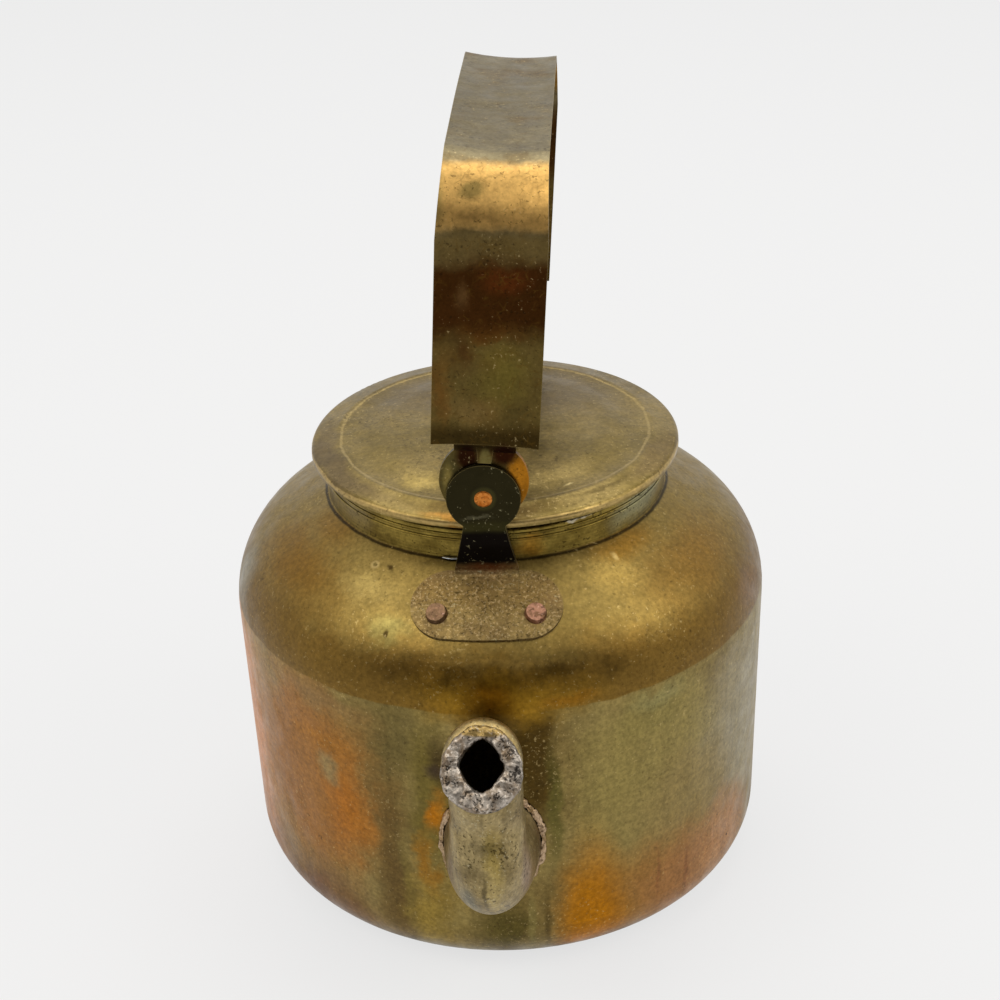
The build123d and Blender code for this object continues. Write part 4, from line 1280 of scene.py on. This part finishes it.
@dataclass
class NeckSliver:
    """A bright sliver of solder that squeezed out under the neck's foot, left of the front bracket.

    Attributes:
        radius_mm: distance of its middle from the axis.
        height_mm: height of its middle.
        from_angle: where it starts, in degrees to the left of the spout.
        to_angle: where it ends.
        width_mm: its width in the middle.
        thick_mm: its thickness in the middle.
        tip: how thick it is at its ends, as a share of its middle.
        lumps: share by which it is thicker and thinner from place to place.
    """

    radius_mm: float = 47.5
    height_mm: float = 116.65
    from_angle: float = 8.6
    to_angle: float = 14.6
    width_mm: float = 1.1
    thick_mm: float = 0.6
    tip: float = 0.02
    lumps: Lumps = Lumps(((1.2, 4.4, 0.4),))
    steps: int = 40
    section_points: int = 14

    def build(self) -> bpy.types.Object:
        """Spins a small oval along the foot and draws its ends to points.

        Returns:
            The piece.
        """
        half = (self.width_mm / 2, self.thick_mm / 2)
        middle = (self.radius_mm, self.height_mm)
        begin = -90.0 - self.to_angle
        sweep = self.to_angle - self.from_angle
        form = spun_oval(half, middle, self.section_points, self.steps, begin=begin, sweep=sweep)
        for vert in form.verts:
            turn = math.degrees(math.atan2(vert.co.y, vert.co.x)) - begin
            swell = math.sqrt(max(0.0, math.sin(math.pi * min(1.0, max(0.0, turn / sweep))))) + self.tip
            axis_point = Vector((vert.co.x, vert.co.y, 0.0)).normalized() * metres(self.radius_mm)
            axis_point.z = metres(self.height_mm)
            vert.co = axis_point + (vert.co - axis_point) * swell * (1.0 + self.lumps.noise_at(vert.co))
        bmesh.ops.holes_fill(form, edges=form.edges, sides=self.section_points)
        return new_piece("neck_solder_sliver", form, "root")


@dataclass
class Photographer:
    """The camera that sees the kettle as the photograph does.

    Attributes:
        focal_px: focal length in pixels of the photograph.
        picture_px: the photograph's width in pixels.
        distance_mm: distance from the kettle's axis, measured on the level.
        height_mm: height above the surface that the kettle stands on.
        pitch: how far it looks down, in radians.
        yaw: how far it looks to the right of the axis, in radians.
        roll: how far it leans, in radians.
        spout_turn: how far the spout is turned from the camera, in degrees.
    """

    focal_px: float = 1927.0
    picture_px: float = 1000.0
    sensor_mm: float = 36.0
    clip_start: float = 0.01
    distance_mm: float = 478.7
    height_mm: float = 365.7
    pitch: float = 0.4929
    yaw: float = 0.0016
    roll: float = -0.0375
    spout_turn: float = 3.7

    def build(self) -> None:
        """Makes the camera and gives it to the scene."""
        data = bpy.data.cameras.new("photo_camera")
        data.sensor_width = self.sensor_mm
        data.lens = self.sensor_mm * self.focal_px / self.picture_px
        data.clip_start = self.clip_start
        turn = Matrix.Rotation(math.radians(self.spout_turn), 3, "Z")
        level = math.cos(self.pitch)
        forward = Vector((math.sin(self.yaw) * level, math.cos(self.yaw) * level, -math.sin(self.pitch)))
        right = Vector((math.cos(self.yaw), -math.sin(self.yaw), 0.0))
        up = right.cross(forward)
        lean_right = math.cos(self.roll) * right + math.sin(self.roll) * up
        lean_up = -math.sin(self.roll) * right + math.cos(self.roll) * up
        axes = turn @ Matrix((lean_right, lean_up, -forward)).transposed()
        place = turn @ Vector((0.0, -metres(self.distance_mm), metres(self.height_mm)))
        camera = put_in_scene("photo_camera", data)
        camera.matrix_world = Matrix.Translation(place) @ axes.to_4x4()
        bpy.context.scene.camera = camera


@dataclass
class SoftLight:
    """A soft box aimed at the kettle, with lengths in metres.

    Attributes:
        power: its power in watts.
        colour: its sRGB hex colour.
        aim: the point it faces.
    """

    name: str
    place: tuple[float, float, float]
    size: tuple[float, float]
    power: float
    colour: str = "#FFFFFF"
    aim: tuple[float, float, float] = (0.0, 0.0, 0.1)

    def build(self) -> None:
        """Hangs the light."""
        data = bpy.data.lights.new(self.name, "AREA")
        data.shape = "RECTANGLE"
        data.size, data.size_y = self.size
        data.energy = self.power
        data.color = linear(self.colour)[:3]
        light = put_in_scene(self.name, data)
        towards = Vector(self.aim) - Vector(self.place)
        light.rotation_euler = towards.to_track_quat("-Z", "Y").to_euler()
        light.location = self.place


@dataclass
class Studio:
    """Pale floor, even surroundings, soft lights and a dark cloth behind the camera.

    Colours are sRGB hex, lengths are in metres and angles in degrees.

    Attributes:
        pale: the floor's and surroundings' colour as the camera sees it.
        fill_colour: the surroundings' colour as a light.
        fill: their strength as a light.
        floor_matt: the floor's colour to everything but the camera.
        floor_shade: the part of its look that takes shadows.
        floor_glow: share of its look that needs no light.
        cloth_foot: height of the cloth's lower edge.
        cloth_sweep: how far it goes round.
    """

    pale: str = "#EFEFEF"
    fill_colour: str = "#FFFFFF"
    fill: float = 0.5
    floor_matt: str = "#D8D8D8"
    floor_shade: str = "#707070"
    floor_glow: float = 0.835
    floor_radius: float = 6.0
    floor_sides: int = 96
    cloth_colour: str = "#3A342C"
    cloth_radius: float = 1.1
    cloth_foot: float = 0.12
    cloth_height: float = 0.75
    cloth_sweep: float = 110.0
    cloth_steps: int = 24
    lights: tuple[SoftLight, ...] = (
        SoftLight("key_soft_box", (-0.75, -0.5, 1.15), (0.9, 0.9), 5.5, "#FFF8EC"),
        SoftLight("side_soft_box", (0.95, -0.3, 0.95), (0.8, 0.9), 4.5, "#FFFAF0"),
        SoftLight("top_soft_box", (0.0, 0.45, 1.25), (1.1, 0.8), 6.0),
    )

    def build(self) -> None:
        """Lays the floor, sets the surroundings and hangs the lights."""
        self._surround()
        self._floor()
        self._cloth()
        for light in self.lights:
            light.build()

    def _seen(self, tree: bpy.types.NodeTree) -> Socket:
        """1 for what the camera sees straight, mirrored or through glass, otherwise 0."""
        path = add_node(tree, "ShaderNodeLightPath", out=None)
        inputs = {0: path["Is Camera Ray"], 1: path["Is Glossy Ray"]}
        mirrored = add_node(tree, "ShaderNodeMath", inputs, operation="MAXIMUM")
        inputs = {0: mirrored, 1: path["Is Transmission Ray"]}
        return add_node(tree, "ShaderNodeMath", inputs, operation="MAXIMUM")

    def _surround(self) -> None:
        """Pale surroundings to the eye, a weaker even fill as a light."""
        world = bpy.data.worlds.new("studio")
        tree = emptied_tree(world)
        inputs = {"Color": linear(self.fill_colour), "Strength": self.fill}
        lamp = add_node(tree, "ShaderNodeBackground", inputs)
        view = add_node(tree, "ShaderNodeBackground", {"Color": linear(self.pale), "Strength": 1.0})
        mix = add_node(tree, "ShaderNodeMixShader", {0: self._seen(tree), 1: lamp, 2: view})
        add_node(tree, "ShaderNodeOutputWorld", {"Surface": mix}, out=None)
        bpy.context.scene.world = world

    def _floor(self) -> None:
        """Pale floor that keeps a soft shadow."""
        form = bmesh.new()
        bmesh.ops.create_circle(form, cap_ends=True, segments=self.floor_sides, radius=self.floor_radius)
        floor = mesh_object("floor", form)
        material = bpy.data.materials.new("pale_floor")
        tree = emptied_tree(material)
        matt = add_node(tree, "ShaderNodeBsdfDiffuse", {"Color": linear(self.floor_matt)})
        inputs = {"Color": linear(self.pale), "Strength": self.floor_glow}
        glow = add_node(tree, "ShaderNodeEmission", inputs)
        shade = add_node(tree, "ShaderNodeBsdfDiffuse", {"Color": linear(self.floor_shade)})
        seen = add_node(tree, "ShaderNodeAddShader", {0: glow, 1: shade})
        mix = add_node(tree, "ShaderNodeMixShader", {0: self._seen(tree), 1: matt, 2: seen})
        add_node(tree, "ShaderNodeOutputMaterial", {"Surface": mix}, out=None)
        floor.data.materials.append(material)

    def _cloth(self) -> None:
        """Dark cloth round the camera's side, which gives the metal something dark to mirror."""
        form = bmesh.new()
        foot = form.verts.new(Vector((0.0, -self.cloth_radius, self.cloth_foot)))
        bmesh.ops.spin(
            form,
            geom=[foot],
            cent=(0.0, 0.0, self.cloth_foot),
            axis=(0.0, 0.0, 1.0),
            angle=math.radians(self.cloth_sweep),
            steps=self.cloth_steps,
            use_duplicate=False,
        )
        centring = Matrix.Rotation(math.radians(-self.cloth_sweep / 2), 3, "Z")
        bmesh.ops.rotate(form, matrix=centring, verts=form.verts)
        raised = raised_verts(bmesh.ops.extrude_edge_only(form, edges=list(form.edges)))
        bmesh.ops.translate(form, vec=(0.0, 0.0, self.cloth_height), verts=raised)
        cloth = mesh_object("front_cloth", form)
        material = bpy.data.materials.new("dark_cloth")
        tree = emptied_tree(material)
        weave = add_node(tree, "ShaderNodeBsdfDiffuse", {"Color": linear(self.cloth_colour)})
        add_node(tree, "ShaderNodeOutputMaterial", {"Surface": weave}, out=None)
        cloth.data.materials.append(material)
        cloth.visible_camera = False


def main() -> None:
    """Dresses the kettle, builds the tin and solder, sets up the studio and points the camera."""
    logging.basicConfig(level=logging.INFO, format="%(name)s: %(message)s")
    bpy.context.scene.view_settings.view_transform = "Standard"
    Photographer().build()
    shop = FinishShop()
    for finish, nodes in FINISH_NODES:
        for node in nodes:
            shop.dress(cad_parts[node], finish)
    shop.dress(LuggedStrap().build(), HANDLE_BRASS)
    shop.dress(LidSheet().build(), LID_BRASS)
    shop.dress(SpoutTin().build(), WIPED_TIN)
    shop.dress(RootSolder().build(), SOLDER)
    shop.dress(NeckSliver().build(), BRIGHT_SOLDER)
    Studio().build()


if __name__ == "__main__":
    main()
